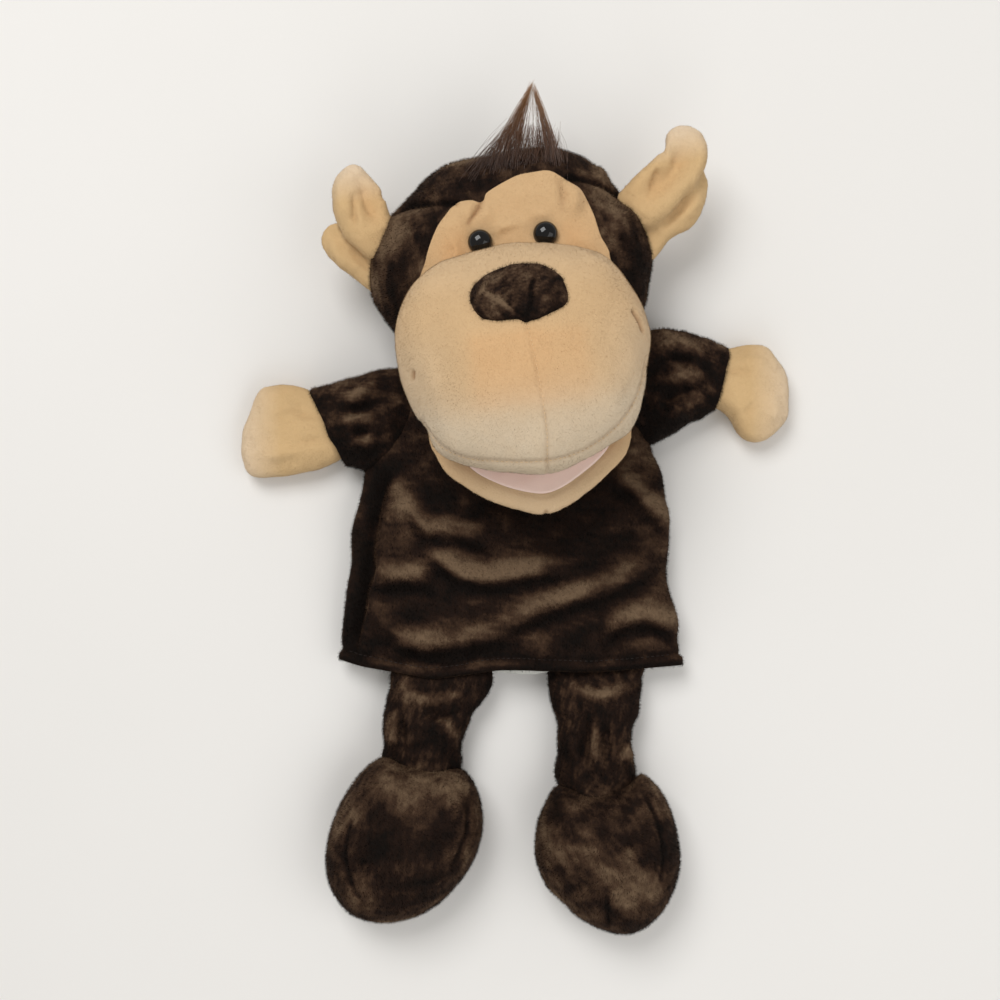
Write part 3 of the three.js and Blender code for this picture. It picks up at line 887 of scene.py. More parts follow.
HEAD_OUTLINE = [
    (0, 2), (22, 2.5), (44, 6), (57, 13), (64, 25), (67, 38), (68, 48), (66, 61), (59, 70.5), (55, 75),
    (50, 85), (40, 94), (29, 99.5), (11, 101.5), (-7, 100), (-25, 97), (-38, 91), (-47, 83), (-53, 79.5),
    (-60, 75), (-66, 66), (-70, 57), (-70, 46), (-67, 35), (-63, 25), (-56, 13), (-43, 6), (-22, 2.5),
]
FACE_OUTLINE = [
    (22, 85), (9, 84.7), (-1, 82), (-8.5, 78), (-11, 74), (-20, 75), (-25, 74), (-31, 68), (-36, 60.5),
    (-41, 51), (-46, 40), (-40, 30), (0, 26), (40, 30), (46, 42), (42.5, 52), (40, 64), (36, 74), (29, 81),
]
EYES = [("right", -14.6, 54.6), ("left", 16.5, 54.6)]


def make_head():
    head = dome("head_plush", HEAD_OUTLINE, (0, 52), 30, 35.5, 29.7, side=2.75, around=200, rows=70)
    remesh(head, 2.4, 8)
    puff(head, 3.0, 1.5)
    divide(head)
    ripple(head, 24, 1.0, 1)
    crown_seams = [
        [(-62, 76), (-56, 78.5), (-46, 79.5), (-34, 77), (-24, 75)],
        [(60, 70), (54, 74), (47, 77.5), (38, 80), (31, 81.5)],
    ]
    seam = fold(head, crown_seams, 1.5, -2.0, tail=0)
    puckers = [
        [(-57, 83), (-46, 84), (-36, 82)],
        [(-60, 71), (-50, 73), (-40, 71)],
        [(46, 90), (48, 84), (44, 80)],
    ]
    fold(head, puckers, 3.4, 1.5)
    fold(head, [[(60, 66), (54, 58), (56, 46)], [(-66, 60), (-58, 52), (-60, 40)]], 3.6, 1.6)
    to_row(head)
    rest_on_floor(head)
    co = head_frame(coords(head))
    # Painted brushed sheen in two patches of the crown; darker along the crown seams.
    lit = blob(co[:, 0] + 58, co[:, 1] - 70, 0, 0, 14, 14) + blob(co[:, 0] - 52, co[:, 1] - 76, 0, 0, 9, 18)
    stroke(head, lit * 0.4 - seam * 0.5, 17, 41, (1, 1, 1), 0.36, 0.25, 0.24)
    nodes = ["head_back", "head_crown", "head_side_left", "head_side_right", "head_filling"]
    return dress(head, BROWN_DOWN, "head", *nodes, slot="brown_plush", fill=0.8)


head = make_head()
brown_pile(head, "head", seed=103)
head_tree = tree(head)


def make_face():
    def height(xy):
        row = head_point(np.column_stack([xy, np.zeros(len(xy))]))
        return drop(head_tree, row[:, :2], 62) + 1.0

    face = cap("face_plush", FACE_OUTLINE, (1, 55), height, rows=60, around=260, edge=1.6, crown=1.8)
    brow = [[(-9, 56), (-4, 59.5), (3, 60.5), (9, 59)], [(-30, 60), (-26, 52), (-30, 44)]]
    fold(face, brow, 2.2, 1.5)
    fold(face, [[(-11, 76), (-14, 70), (-19, 64)]], 1.8, -1.9)
    fold(face, [[(26, 80), (27.5, 73), (26, 66)]], 2.4, -1.5)
    fold(face, [[(-15, 76), (-19, 69), (-22, 62)], [(31, 78), (32.5, 71), (30, 63)]], 3.0, 1.6)
    fold(face, [[(-12, 63), (-9, 69), (-12, 73)], [(8, 62), (14, 64), (22, 62)]], 2.4, 1.0)
    co = coords(face)
    n = normals(face)
    sink = sum(2.4 * bell(np.hypot(co[:, 0] - x, co[:, 1] - y), 7) for _, x, y in EYES)
    set_coords(face, co - n * sink[:, None])
    ripple(face, 13, 0.35, 2, OFF_FLOOR)
    co = coords(face)
    warm = blob(co[:, 0] + 26, co[:, 1] - 53, 0, 0, 9, 8) + 0.7 * blob(co[:, 0] - 30, co[:, 1] - 52, 0, 0, 9, 9)
    paint(face, "warm", 0.15 + 0.6 * warm)
    # Painted shade along the two forehead creases.
    dark_seams_and_crease_shade = near(co[:, :2], [(-11, 76), (-14, 70), (-19, 64)], 1.1)
    dark_seams_and_crease_shade += 0.4 * near(co[:, :2], [(26, 80), (27.5, 73), (26, 66)], 1.8)
    paint(face, "dark_seams_and_crease_shade", dark_seams_and_crease_shade)
    to_row(face)
    return dress(face, FACE, "head", "face_panel", slot="beige_plush", fill=0.6)


face = make_face()
beige_pile(face, FACE_SHADES, "head", seed=104)
face_tree = tree(face)


EYE_PROFILE = [  # radius, and height above the face
    (5.2, -2.5), (5.6, -0.2), (5.85, 0.8), (5.8, 1.9), (5.4, 3.2), (4.7, 4.3), (3.6, 5.2), (2.2, 5.8),
    (0.8, 6.05),
]


def make_eyes():
    around = 56
    angle = np.linspace(0, 2 * math.pi, around, endpoint=False)
    for side, u, v in EYES:
        base = float(drop(face_tree, [head_point([u, v, 0])[:2]], 66)[0]) + 1.0
        rings = []
        for radius, lift in smooth_line(EYE_PROFILE, 26):
            x, y = u + radius * np.cos(angle), v + radius * np.sin(angle)
            rings.append(head_point(np.column_stack([x, y, np.full(around, base + lift)])))
        eye = loft(f"eye_button_{side}", rings)
        dress(eye, GLOSS_BLACK, "head", f"eye_{side}", slot="eye")


make_eyes()

# ---- Muzzle ----

MUZZLE_OUTLINE = [
    (1, 51.5), (11, 50.3), (22, 48.5), (34, 46), (44, 40), (52, 30), (58, 16), (60, 2), (57, -12),
    (51.5, -29), (44.5, -43), (36, -48.5), (27, -52.5), (15, -56.8), (4, -58.6), (-7, -58.4), (-22, -55.8),
    (-36, -51), (-46, -43.5), (-51, -31), (-56, -18), (-60.3, -3), (-61.2, 11), (-58, 23), (-53, 32),
    (-46, 40), (-36, 46), (-25, 48.5), (-13, 50.5),
]
CENTRE_SEAM = [(1, 10), (3, -8), (4, -25), (4.3, -40), (3.4, -50), (2.8, -57)]
LIP_SEAM = [
    (-52, -27), (-44, -40), (-33, -47), (-20, -50), (-5, -52.3),
    (10, -52.3), (24, -48.5), (38, -40), (48, -28), (54, -14),
]
NOSE_OUTLINE = [
    (-21.5, 27), (-15, 32.5), (-6.6, 35.6), (3, 36.9), (12, 34), (18.5, 28), (21, 20.6), (19, 14.5),
    (11, 11), (3.5, 9.2), (0.5, 8.6), (-4, 10.5), (-13, 10.8), (-19.5, 14.5), (-22.3, 20.5),
]


def roof(v):
    return ROOF_FOLD_Z + np.maximum(-v, 0) * ROOF_RISE


def make_muzzle():
    shape = {"side": 2.35, "around": 200, "rows": 80, "floor": OFF_FLOOR, "grow": -0.7}
    muzzle = dome("muzzle_plush", MUZZLE_OUTLINE, (0, -1), 66, 51, 14, **shape)
    co = coords(muzzle)
    sunk_in = 1 + 1.5 * np.clip((co[:, 1] - 18) / 12, 0, 1)  # its upper half reaches down into the head
    co[:, 2] = np.where(co[:, 2] < 66, 66 - (66 - co[:, 2]) * sunk_in, co[:, 2])
    raised = np.maximum(roof(co[:, 1]) + 4 - 66, 0) * np.clip((117 - co[:, 2]) / 51, 0, 1)
    above_roof = np.maximum(co[:, 2] + raised, roof(co[:, 1]) + 0.6)
    co[:, 2] = np.where(co[:, 1] < 19, above_roof, co[:, 2] + raised)
    set_coords(muzzle, co)
    remesh(muzzle, 2.2, 6)
    puff(muzzle, 3.0, 1.5)
    divide(muzzle)
    ripple(muzzle, 26, 0.8, 4, OFF_FLOOR)
    co = coords(muzzle)
    n = normals(muzzle)
    seam = near(co[:, :2], smooth_line(CENTRE_SEAM, 30), 1.0) * (n[:, 2] > 0)
    lip = near(co[:, :2], smooth_line(LIP_SEAM, 40), 1.1) * (n[:, 2] > -0.3)
    flank = near(co[:, :2], [(-52.5, -5), (-53, -7.5)], 0.9)
    flank += near(co[:, :2], [(50.5, 10), (53, 5), (54, 1)], 0.9)
    flank *= n[:, 2] > 0
    beside = near(co[:, :2], smooth_line(CENTRE_SEAM[2:], 30), 5.0) * (n[:, 2] > 0)
    set_coords(muzzle, co + n * (-0.9 * seam - 0.8 * lip - 1.5 * flank + 0.5 * beside)[:, None])
    fold(muzzle, [[(-52, 30), (-40, 34), (-30, 40)], [(-48, 2), (-44, -10), (-46, -20)]], 5.0, 1.0)
    fold(muzzle, [[(46, 26), (40, 34), (30, 40)], [(50, -2), (47, -14), (42, -24)]], 5.0, 0.9)
    co = coords(muzzle)
    u, v = co[:, 0], co[:, 1]
    # Two warm patches, one each side of the centre seam, whose edges fade out over 6 and 5 mm.
    blush = blob(u + 10, v + 11, 11, 13, 6, 5) + 0.8 * blob(u - 15, v + 12, 7, 13, 6, 5)
    paler = 1 / (1 + np.exp((v + 27) / 5))
    paler += 0.6 / (1 + np.exp(-(np.abs(u) - 42) / 6)) / (1 + np.exp((v - 6) / 7))
    paler += 0.25 / (1 + np.exp(-(v - 30) / 5))
    paint(muzzle, "warm", np.clip(blush, 0, 1) * 0.55)
    paint(muzzle, "pale", np.clip(paler, 0, 1) * 0.85)
    # Darker along the centre and lip seams, and painted shade in the two flank dents.
    paint(muzzle, "dark_seams_and_crease_shade", np.clip(0.35 * seam * (v < -30) + 0.35 * lip + flank * 1.3, 0, 1.3))
    to_row(muzzle)
    nodes = ["muzzle_left", "muzzle_right", "muzzle_filling"]
    return dress(muzzle, FACE, "head", *nodes, slot="beige_plush", fill=0.9)


muzzle = make_muzzle()
beige_pile(muzzle, FACE_SHADES, "head", seed=105)
muzzle_tree = tree(muzzle)


def make_nose():
    def height(xy):
        row = head_point(np.column_stack([xy, np.zeros(len(xy))]))
        return drop(muzzle_tree, row[:, :2], 110) - 0.4

    nose = cap("nose_plush", NOSE_OUTLINE, (0, 22), height, rows=44, around=180, edge=1.4, crown=0.0)
    co = coords(nose)
    loop = smooth_loop(NOSE_OUTLINE, 180)
    gap = nearest(co[:, :2], np.vstack([loop, loop[:1]]))[0]
    rim = np.clip(gap / 9, 0, 1)
    co[:, 2] += 5.0 * np.sqrt(1 - (1 - rim) ** 2)
    set_coords(nose, co)
    darts = [[(0.5, 9), (-6, 17), (-12, 23), (-18, 27)], [(1, 9), (4, 17), (5, 24), (9, 30)]]
    dart = fold(nose, darts, 1.1, -0.8, tail=0.2)
    fold(nose, [[(-3, 12), (-10, 19), (-17, 24)], [(8, 16), (11, 24), (14, 29)]], 2.5, 0.8)
    ripple(nose, 7, 0.25, 6, OFF_FLOOR)
    # Painted highlight: a lit bar across the nose; darker along the darts.
    lit_bar = near(coords(nose)[:, :2], [(-16, 26), (-2, 12)], 2.0)
    stroke(nose, 0.55 * lit_bar - 0.25 * dart, 9, 51, (1, 1, 1), 0.3, 0.25, 0.2)
    to_row(nose)
    return dress(nose, BROWN_DOWN, "head", "nose_patch", "nose_filling", slot="brown_plush", fill=0.7)


brown_pile(make_nose(), "head", seed=106)

# ---- Lower jaw and mouth ----

JAW_OUTLINE = [
    (0, -1), (22, -2), (37, -8), (45, -20), (47, -34), (45, -46), (40, -54.5), (33, -60.5), (20, -69.7),
    (8, -75.2), (0, -76.6), (-9, -74), (-19, -70), (-30, -63.5), (-41, -54.5), (-47.5, -44), (-50, -32),
    (-47.5, -20), (-38, -8), (-22, -2),
]


def jaw_top(v):
    return JAW_FOLD_Z + np.maximum(-v, 0) * JAW_RISE


def make_jaw():
    jaw = dome("jaw_plush", JAW_OUTLINE, (0, -40), 0, 6.8, 7.0, side=2.6, around=180, rows=40, floor=OFF_FLOOR)
    remesh(jaw, 1.9, 4)
    puff(jaw, 2.0, 1.0)
    divide(jaw)
    co = coords(jaw)
    loop = smooth_loop(JAW_OUTLINE, 160)
    gap = nearest(co[:, :2], np.vstack([loop, loop[:1]]))[0]
    hollow = np.clip((gap - 8.5) / 3, 0, 1) * np.clip(co[:, 2] / 3, 0, 1)
    co[:, 2] += jaw_top(co[:, 1]) - 7 - 2.6 * hollow
    set_coords(jaw, co)
    n = normals(jaw)
    tip = near(co, [(2, -60, 76), (1, -72, 77), (0.5, -77, 68), (0.5, -70, 58)], 1.0)
    rim = bell(gap - 7.6, 0.8) * (n[:, 2] > 0.3)
    set_coords(jaw, co - n * (0.9 * tip + 0.5 * rim)[:, None])
    ripple(jaw, 14, 0.3, 7, OFF_FLOOR)
    # Darker along the chin seam and the rim seam.
    paint(jaw, "dark_seams_and_crease_shade", 0.9 * tip + 0.3 * rim)
    # Painted light: the jaw is painted paler the higher it rises, towards its tip.
    paint(jaw, "pale", np.clip(co[:, 2] - 60, 0, 12) / 30)
    to_row(jaw)
    jaw.data.materials.append(FACE)
    start, end = (tuple(p) for p in head_point([[0, 0, 55], [0, -12, 55]]) * MM)
    between = ("head", "jaw", start, end)
    beige_pile(jaw, FACE_SHADES, between=between, seed=107)
    attach(jaw, None, between, "beige_plush", "jaw_cover", "jaw_filling", fill=0.6)


make_jaw()


def sheet_in_mouth(name, loop_points, centre, level, body, node, spread=1.0, rows=30):
    """A thin pink lining glued to its board, over an outline, at the height that level(v) gives."""
    loop = smooth_loop(loop_points, 140)
    centre = np.array(centre, float)
    rings = []
    for share in np.linspace(0.03, 1, rows):
        xy = centre + (loop - centre) * share * spread
        rings.append(np.column_stack([xy, level(xy[:, 1])]))
    sheet = loft(name, rings, True, False)
    ripple(sheet, 16, 0.3, 8, OFF_FLOOR)
    thicken(sheet, MOUTH_CLOTH_THICK, 0)
    to_row(sheet)
    dress(sheet, PINK, body, node, slot="pink_lining")


def make_mouth():
    roof_outline = [
        (0, 1), (30, 0), (46, -8), (53, -24), (47, -38), (38, -45.5), (27, -50), (15, -54), (4, -56),
        (-7, -55.8), (-22, -53), (-36, -48), (-47, -40), (-51, -28), (-46, -8), (-30, 0),
    ]
    sheet_in_mouth(
        "mouth_roof_cloth", roof_outline, (0, -28), lambda v: roof(v) + 0.2, "head",
        "mouth_roof_lining", 0.955,
    )
    jaw_outline = [
        (0, 1), (20, 0), (29, -6), (34.5, -20), (37.5, -34), (36, -45), (30, -53), (18, -61), (8, -65.8),
        (0, -67), (-9, -64.8), (-19, -60.5), (-30, -53), (-37, -43), (-38, -32), (-34.5, -20), (-29, -6),
        (-20, 0),
    ]
    sheet_in_mouth(
        "jaw_lining_cloth", jaw_outline, (0, -34), lambda v: jaw_top(v) - 1.9, "jaw",
        "jaw_lining",
    )


make_mouth()

# ---- Ears ----


def make_ear(side, lobes, hollows, ridges, creases):
    """Two soft lobes of one cupped ear, joined into one skin."""
    parts = []
    shape = {"side": 2.1, "around": 90, "rows": 30, "floor": OFF_FLOOR}
    for index, (outline, centre, mid, up, down) in enumerate(lobes):
        parts.append(dome(f"lobe_{index}", outline, centre, mid, up, down, **shape))
    ear = join(f"ear_{side}_plush", parts)
    remesh(ear, 1.5, 5)
    puff(ear, 3.0, 1.2)
    divide(ear)
    sunk = fold(ear, hollows, 5.0, -4.2, tail=0.3)
    fold(ear, ridges, 3.0, 2.2, tail=0.3)
    line = fold(ear, creases, 1.7, -1.8, tail=0.3)
    ripple(ear, 11, 0.4, 10, OFF_FLOOR)
    co = coords(ear)
    reach = np.abs(co[:, 0]) - 60
    paint(ear, "pale", np.clip((co[:, 1] - 84) / 18, 0, 1) * 0.8)
    # Painted shade: the hollows get a warmer tint and the creases are darkened; the ear is also warmer towards
    # the head.
    paint(ear, "warm", np.clip(sunk, 0, 1) * 0.45 + np.clip(1 - reach / 20, 0, 1) * 0.25)
    paint(ear, "dark_seams_and_crease_shade", np.clip(line, 0, 1) * 0.25)
    to_row(ear)
    dress(ear, LIMB, f"ear_{side}", f"ear_{side}_front", f"ear_{side}_back", slot="beige_plush", fill=0.3)
    beige_pile(ear, LIMB_SHADES, f"ear_{side}", seed=108)


def join(name, parts):
    verts, faces, first = [], [], 0
    for part in parts:
        co = coords(part)
        verts.append(co)
        faces += [tuple(first + i for i in p.vertices) for p in part.data.polygons]
        first += len(co)
        bpy.data.objects.remove(part)
    return new_object(name, np.vstack(verts), faces)


make_ear(
    "right",
    [
        (
            [
                (-70, 103), (-77, 101), (-82, 94), (-83, 84), (-81, 74), (-77, 66), (-68.5, 57), (-60, 60),
                (-56, 73), (-61, 84), (-63.5, 95),
            ],
            (-71, 80), 43, 9, 8,
        ),
        (
            [
                (-82, 78), (-88, 76.5), (-91.5, 70), (-89, 62), (-82, 55), (-70, 42), (-62, 44), (-62, 60),
                (-70, 72),
            ],
            (-77, 63), 34, 6, 7,
        ),
    ],
    [[(-61, 70), (-65, 80), (-68, 90), (-72, 96)]],
    [
        [(-79, 72), (-79, 84), (-78, 94), (-72, 99)],
        [(-64, 96), (-60.5, 86), (-58.5, 76)],
        [(-86, 72), (-84, 62), (-76, 52)],
    ],
    [[(-74, 70), (-73, 80), (-72, 90)], [(-80, 68), (-74, 58), (-68, 50)]],
)
make_ear(
    "left",
    [
        (
            [
                (55, 71), (63, 79), (73, 86), (80, 90), (81.5, 97), (85, 101.5), (92, 102.5), (98.5, 98),
                (99.5, 91), (97, 81), (90, 71), (82, 64), (72, 57), (64, 56),
            ],
            (80, 79), 43, 8, 8,
        ),
        (
            [
                (97, 82), (100, 76), (98, 67), (90, 56), (80, 50.5), (67, 40), (62, 48), (66, 60), (80, 68),
                (90, 76),
            ],
            (84, 64), 35, 6, 7,
        ),
    ],
    [[(64, 64), (72, 71), (81, 78), (88, 88), (91, 95)]],
    [
        [(96, 98), (97, 88), (92, 77), (84, 69)],
        [(60, 72), (68, 80), (77, 86), (83, 95)],
        [(96, 74), (92, 64), (82, 56)],
    ],
    [[(75, 83), (74, 77), (70, 71)], [(92, 72), (84, 62), (74, 54)]],
)

# ---- Arms ----


def tube(name, stations, around=110, rows=60, squareness=2.4, closed=(True, True)):
    """A skin through flat oval stations: two edge points, the lowest z and the highest z of each."""
    table = smooth_line([(*a, *b, low, high) for a, b, low, high in stations], rows)
    angle = np.linspace(0, 2 * math.pi, around, endpoint=False)
    rings = []
    for ax, ay, bx, by, low, high in table:
        across = bend(np.cos(angle), squareness)
        x = (ax + bx) / 2 + across * (bx - ax) / 2
        y = (ay + by) / 2 + across * (by - ay) / 2
        z = (low + high) / 2 + bend(np.sin(angle), squareness) * (high - low) / 2
        rings.append(np.column_stack([x, y, z]))
    return loft(name, rings, *closed)


def make_sleeve(side, stations, folds, creases, start, end):
    sleeve = tube(f"sleeve_{side}_plush", stations)
    divide(sleeve)
    ripple(sleeve, 14, 0.7, 11 if side == "left" else 12)
    lit = fold(sleeve, folds, 3.6, 2.2)
    fold(sleeve, creases, 2.4, -2.4)
    stroke(sleeve, lit * 0.4, 14, 61 if side == "left" else 62, (0.8, 1.3, 1), 0.2, 0.5, 0.14)
    rest_on_floor(sleeve)
    sleeve.data.materials.append(BROWN)
    between = ("torso", f"arm_{side}", start, end)
    brown_pile(sleeve, between=between, seed=109)
    attach(sleeve, None, between, "brown_plush", f"sleeve_{side}", f"arm_filling_{side}", fill=0.4)


def make_hand(side, outline, centre, top, folds, creases, start, end):
    reach = (top - HAND_SEAM_Z, HAND_SEAM_Z - 0.2)
    hand = dome(f"hand_{side}_plush", outline, centre, HAND_SEAM_Z, *reach, side=2.35, around=130, rows=40)
    remesh(hand, 1.7, 6)
    puff(hand, 3.0, 1.2)
    divide(hand)
    ripple(hand, 16, 0.6, 13 if side == "left" else 14)
    fold(hand, folds, 3.4, 1.6)
    line = fold(hand, creases, 2.2, -1.2, tail=0.5)
    co = coords(hand)
    rim = bell(co[:, 2] - HAND_SEAM_Z, 0.9) * (np.abs(normals(hand)[:, 2]) < 0.6)
    set_coords(hand, co - normals(hand) * (0.7 * rim)[:, None])
    rest_on_floor(hand)
    # Painted shade in the creases, and darker along the rim seam.
    paint(hand, "dark_seams_and_crease_shade", line * 0.15 + 0.3 * rim)
    paint(hand, "pale", np.clip((np.abs(co[:, 0]) - 118) / 30, 0, 0.6))
    hand.data.materials.append(LIMB)
    between = (f"arm_{side}", f"hand_{side}", start, end)
    beige_pile(hand, LIMB_SHADES, between=between, seed=110)
    nodes = [f"hand_{side}_back", f"hand_{side}_palm", f"hand_filling_{side}"]
    attach(hand, None, between, "beige_plush", *nodes, fill=0.5)


make_sleeve(
    "right",
    [
        ((-46, 66), (-56, 22), 3, 20),
        ((-58, 71), (-66, 19), 1, 24),
        ((-72, 70), (-73, 18.5), 0.3, 26),
        ((-86, 65.5), (-78, 19.5), 0.3, 26),
        ((-98, 61.5), (-83, 21), 0.3, 24.5),
        ((-103.5, 60), (-86.5, 22), 0.5, 23),
        ((-102, 57), (-86.5, 25), 3, 20.5),
        ((-92, 54), (-80, 28), 4, 19.5),
    ],
    [[(-70, 62), (-80, 56), (-92, 54)], [(-70, 30), (-78, 33), (-86, 30)], [(-68, 46), (-80, 44), (-93, 43)]],
    [[(-66, 54), (-76, 50), (-88, 48)], [(-70, 38), (-78, 37), (-84, 38)]],
    (-0.066, 0.046, 0.012),
    (-0.080, 0.046, 0.012),
)
make_hand(
    "right",
    [
        (-90, 53), (-103, 59.5), (-112, 62), (-121, 62), (-129.5, 60), (-134, 51), (-138.6, 39), (-139.5, 30),
        (-137, 20), (-132, 16.8), (-124, 16.5), (-110, 18), (-96, 22), (-86, 29),
    ],
    (-112, 40), 20.5,
    [[(-108, 50), (-118, 50), (-130, 46)], [(-104, 30), (-116, 28), (-130, 26)]],
    [[(-92, 46), (-106, 47), (-120, 51)], [(-92, 34), (-104, 34), (-114, 31)]],
    (-0.092, 0.044, 0.010),
    (-0.102, 0.042, 0.010),
)
make_sleeve(
    "left",
    [
        ((50, 36), (46, 70), 3, 20),
        ((60, 33), (56, 80), 1, 24),
        ((70, 33.5), (68, 90), 0.3, 26),
        ((84, 41), (84, 90), 0.3, 26.5),
        ((97, 48), (102, 83.5), 0.3, 24.5),
        ((101, 50.5), (108, 80.5), 0.5, 23),
        ((100.5, 54), (106, 78), 3, 20.5),
        ((90, 55), (95, 77), 4, 19.5),
    ],
    [[(68, 80), (82, 82), (96, 76)], [(72, 44), (84, 50), (96, 54)], [(70, 62), (84, 66), (98, 66)]],
    [[(68, 72), (82, 74), (94, 71)], [(72, 54), (84, 58), (94, 60)]],
    (0.062, 0.062, 0.012),
    (0.076, 0.062, 0.012),
)
make_hand(
    "left",
    [
        (96, 77), (107, 80.5), (119, 82.8), (128, 82), (132.5, 75), (136.5, 67), (139.3, 58), (138.5, 47),
        (132.5, 37.5), (125, 33.8), (119, 34.2), (114, 38.5), (109, 47), (103.5, 51.5), (95, 55),
    ],
    (117, 61), 21,
    [[(108, 72), (120, 74), (130, 68)], [(128, 60), (131, 50), (126, 41)]],
    [[(100, 70), (112, 69), (122, 66)], [(112, 46), (118, 50), (122, 56)]],
    (0.096, 0.066, 0.010),
    (0.107, 0.066, 0.010),
)

# ---- Legs ----


def make_leg(side, stations, folds, creases, x):
    leg = tube(f"leg_{side}_plush", stations, squareness=2.5)
    divide(leg)
    ripple(leg, 14, 0.7, 15 if side == "left" else 16)
    lit = fold(leg, folds, 3.4, 2.4)
    fold(leg, creases, 2.2, -2.6)
    stroke(leg, lit * 0.45, 12, 71 if side == "left" else 72, (1.2, 0.8, 1), 0.24, 0.3, 0.14)
    rest_on_floor(leg)
    leg.data.materials.append(BROWN_DOWN)
    start, end = (x * MM, -0.0795, 0.018), (x * MM, -0.092, 0.018)
    between = ("torso", f"leg_{side}", start, end)
    brown_pile(leg, between=between, seed=111)
    attach(leg, None, between, "brown_plush", f"leg_{side}", f"leg_filling_{side}", fill=0.5)


def make_foot(side, outline, centre, gussets, dents, start, end):
    foot = dome(f"foot_{side}_plush", outline, centre, 19, 26.5, 18.8, side=2.3, around=150, rows=50)
    remesh(foot, 2.0, 6)
    puff(foot, 3.0, 1.4)
    divide(foot)
    ripple(foot, 22, 0.45, 17 if side == "left" else 18)
    seam = fold(foot, gussets, 1.4, -1.1, tail=0.2)
    fold(foot, dents, 5.0, -1.8)
    rest_on_floor(foot)
    stroke(foot, -seam * 0.35, 22, 81 if side == "left" else 82, (1, 1, 1), 0.53, 0.2, 0.32)
    foot.data.materials.append(BROWN_DOWN)
    between = (f"leg_{side}", f"foot_{side}", start, end)
    brown_pile(foot, between=between, seed=112)
    nodes = [f"foot_{side}_upper", f"foot_{side}_sole", f"foot_filling_{side}"]
    attach(foot, None, between, "brown_plush", *nodes, fill=0.8)


make_leg(
    "right",
    [
        ((-58, -74), (-16, -74), 6, 15),
        ((-63, -80), (-12, -79), 4, 17),
        ((-64, -86), (-12, -85), 1, 20.5),
        ((-65, -96), (-14.5, -94), 0.3, 22.5),
        ((-66.5, -112), (-24, -107), 0.3, 24),
        ((-66.5, -121), (-27, -119), 0.3, 23.5),
        ((-65.5, -129), (-27.5, -131), 0.3, 24.5),
        ((-62, -137), (-31, -139), 3, 28),
    ],
    [
        [(-60, -90), (-44, -96), (-26, -92)],
        [(-62, -100), (-62, -112), (-60, -124)],
        [(-40, -104), (-32, -112), (-32, -122)],
    ],
    [[(-58, -98), (-57, -112), (-57, -124)], [(-48, -102), (-36, -104), (-26, -102)]],
    -38,
)
make_foot(
    "right",
    [
        (-67, -126.5), (-56, -129.5), (-42, -132), (-28, -132), (-20.5, -142), (-17.8, -156), (-19.8, -170),
        (-25, -182.5), (-32.5, -191.5), (-42, -199.5), (-53.5, -205), (-67, -206.8), (-79.5, -203),
        (-87.5, -196.5), (-92.8, -187), (-94.5, -175), (-92.5, -162.5), (-87, -149), (-78.5, -136),
    ],
    (-54, -166),
    [[(-80, -150), (-84, -168), (-80, -186), (-72, -198)], [(-24, -142), (-24, -160), (-32, -178)]],
    [[(-76, -170), (-74, -182)], [(-34, -156), (-38, -164)]],
    (-0.050, -0.128, 0.020),
    (-0.052, -0.142, 0.020),
)
make_leg(
    "left",
    [
        ((22, -73), (60, -73), 6, 15),
        ((17, -79), (65, -79), 4, 17),
        ((17.5, -86), (64.5, -86), 1, 20.5),
        ((18.5, -96), (63.5, -95), 0.3, 22.5),
        ((21.5, -112), (60, -109), 0.3, 24),
        ((21.5, -124), (58, -122), 0.3, 23.5),
        ((21, -137), (61, -134), 0.3, 25),
        ((25, -145), (57, -144), 3, 28),
    ],
    [
        [(24, -88), (42, -94), (60, -88)],
        [(40, -104), (40, -118), (40, -132)],
        [(52, -112), (56, -124), (58, -132)],
    ],
    [[(35, -102), (34, -118), (34, -132)], [(46, -104), (46, -118), (47, -130)], [(56, -116), (53, -126)]],
    41,
)
make_foot(
    "left",
    [
        (22, -140), (32, -142), (45, -142.5), (57, -139), (63, -134.5), (71, -141.5), (77, -151.5),
        (80.5, -164), (81, -176.5), (78, -191), (72, -202), (63, -209.5), (53, -211.8), (41, -208.5),
        (31, -203), (23, -196), (16, -188.5), (12, -178.5), (10.8, -167.5), (12.5, -156.5), (16.5, -147),
    ],
    (46, -172),
    [[(62, -138), (70, -154), (73, -172), (70, -188)], [(44, -186), (45, -198), (46, -209)]],
    [[(30, -182), (38, -190)], [(54, -160), (60, -170)]],
    (0.043, -0.134, 0.020),
    (0.045, -0.148, 0.020),
)

# ---- Hair ----


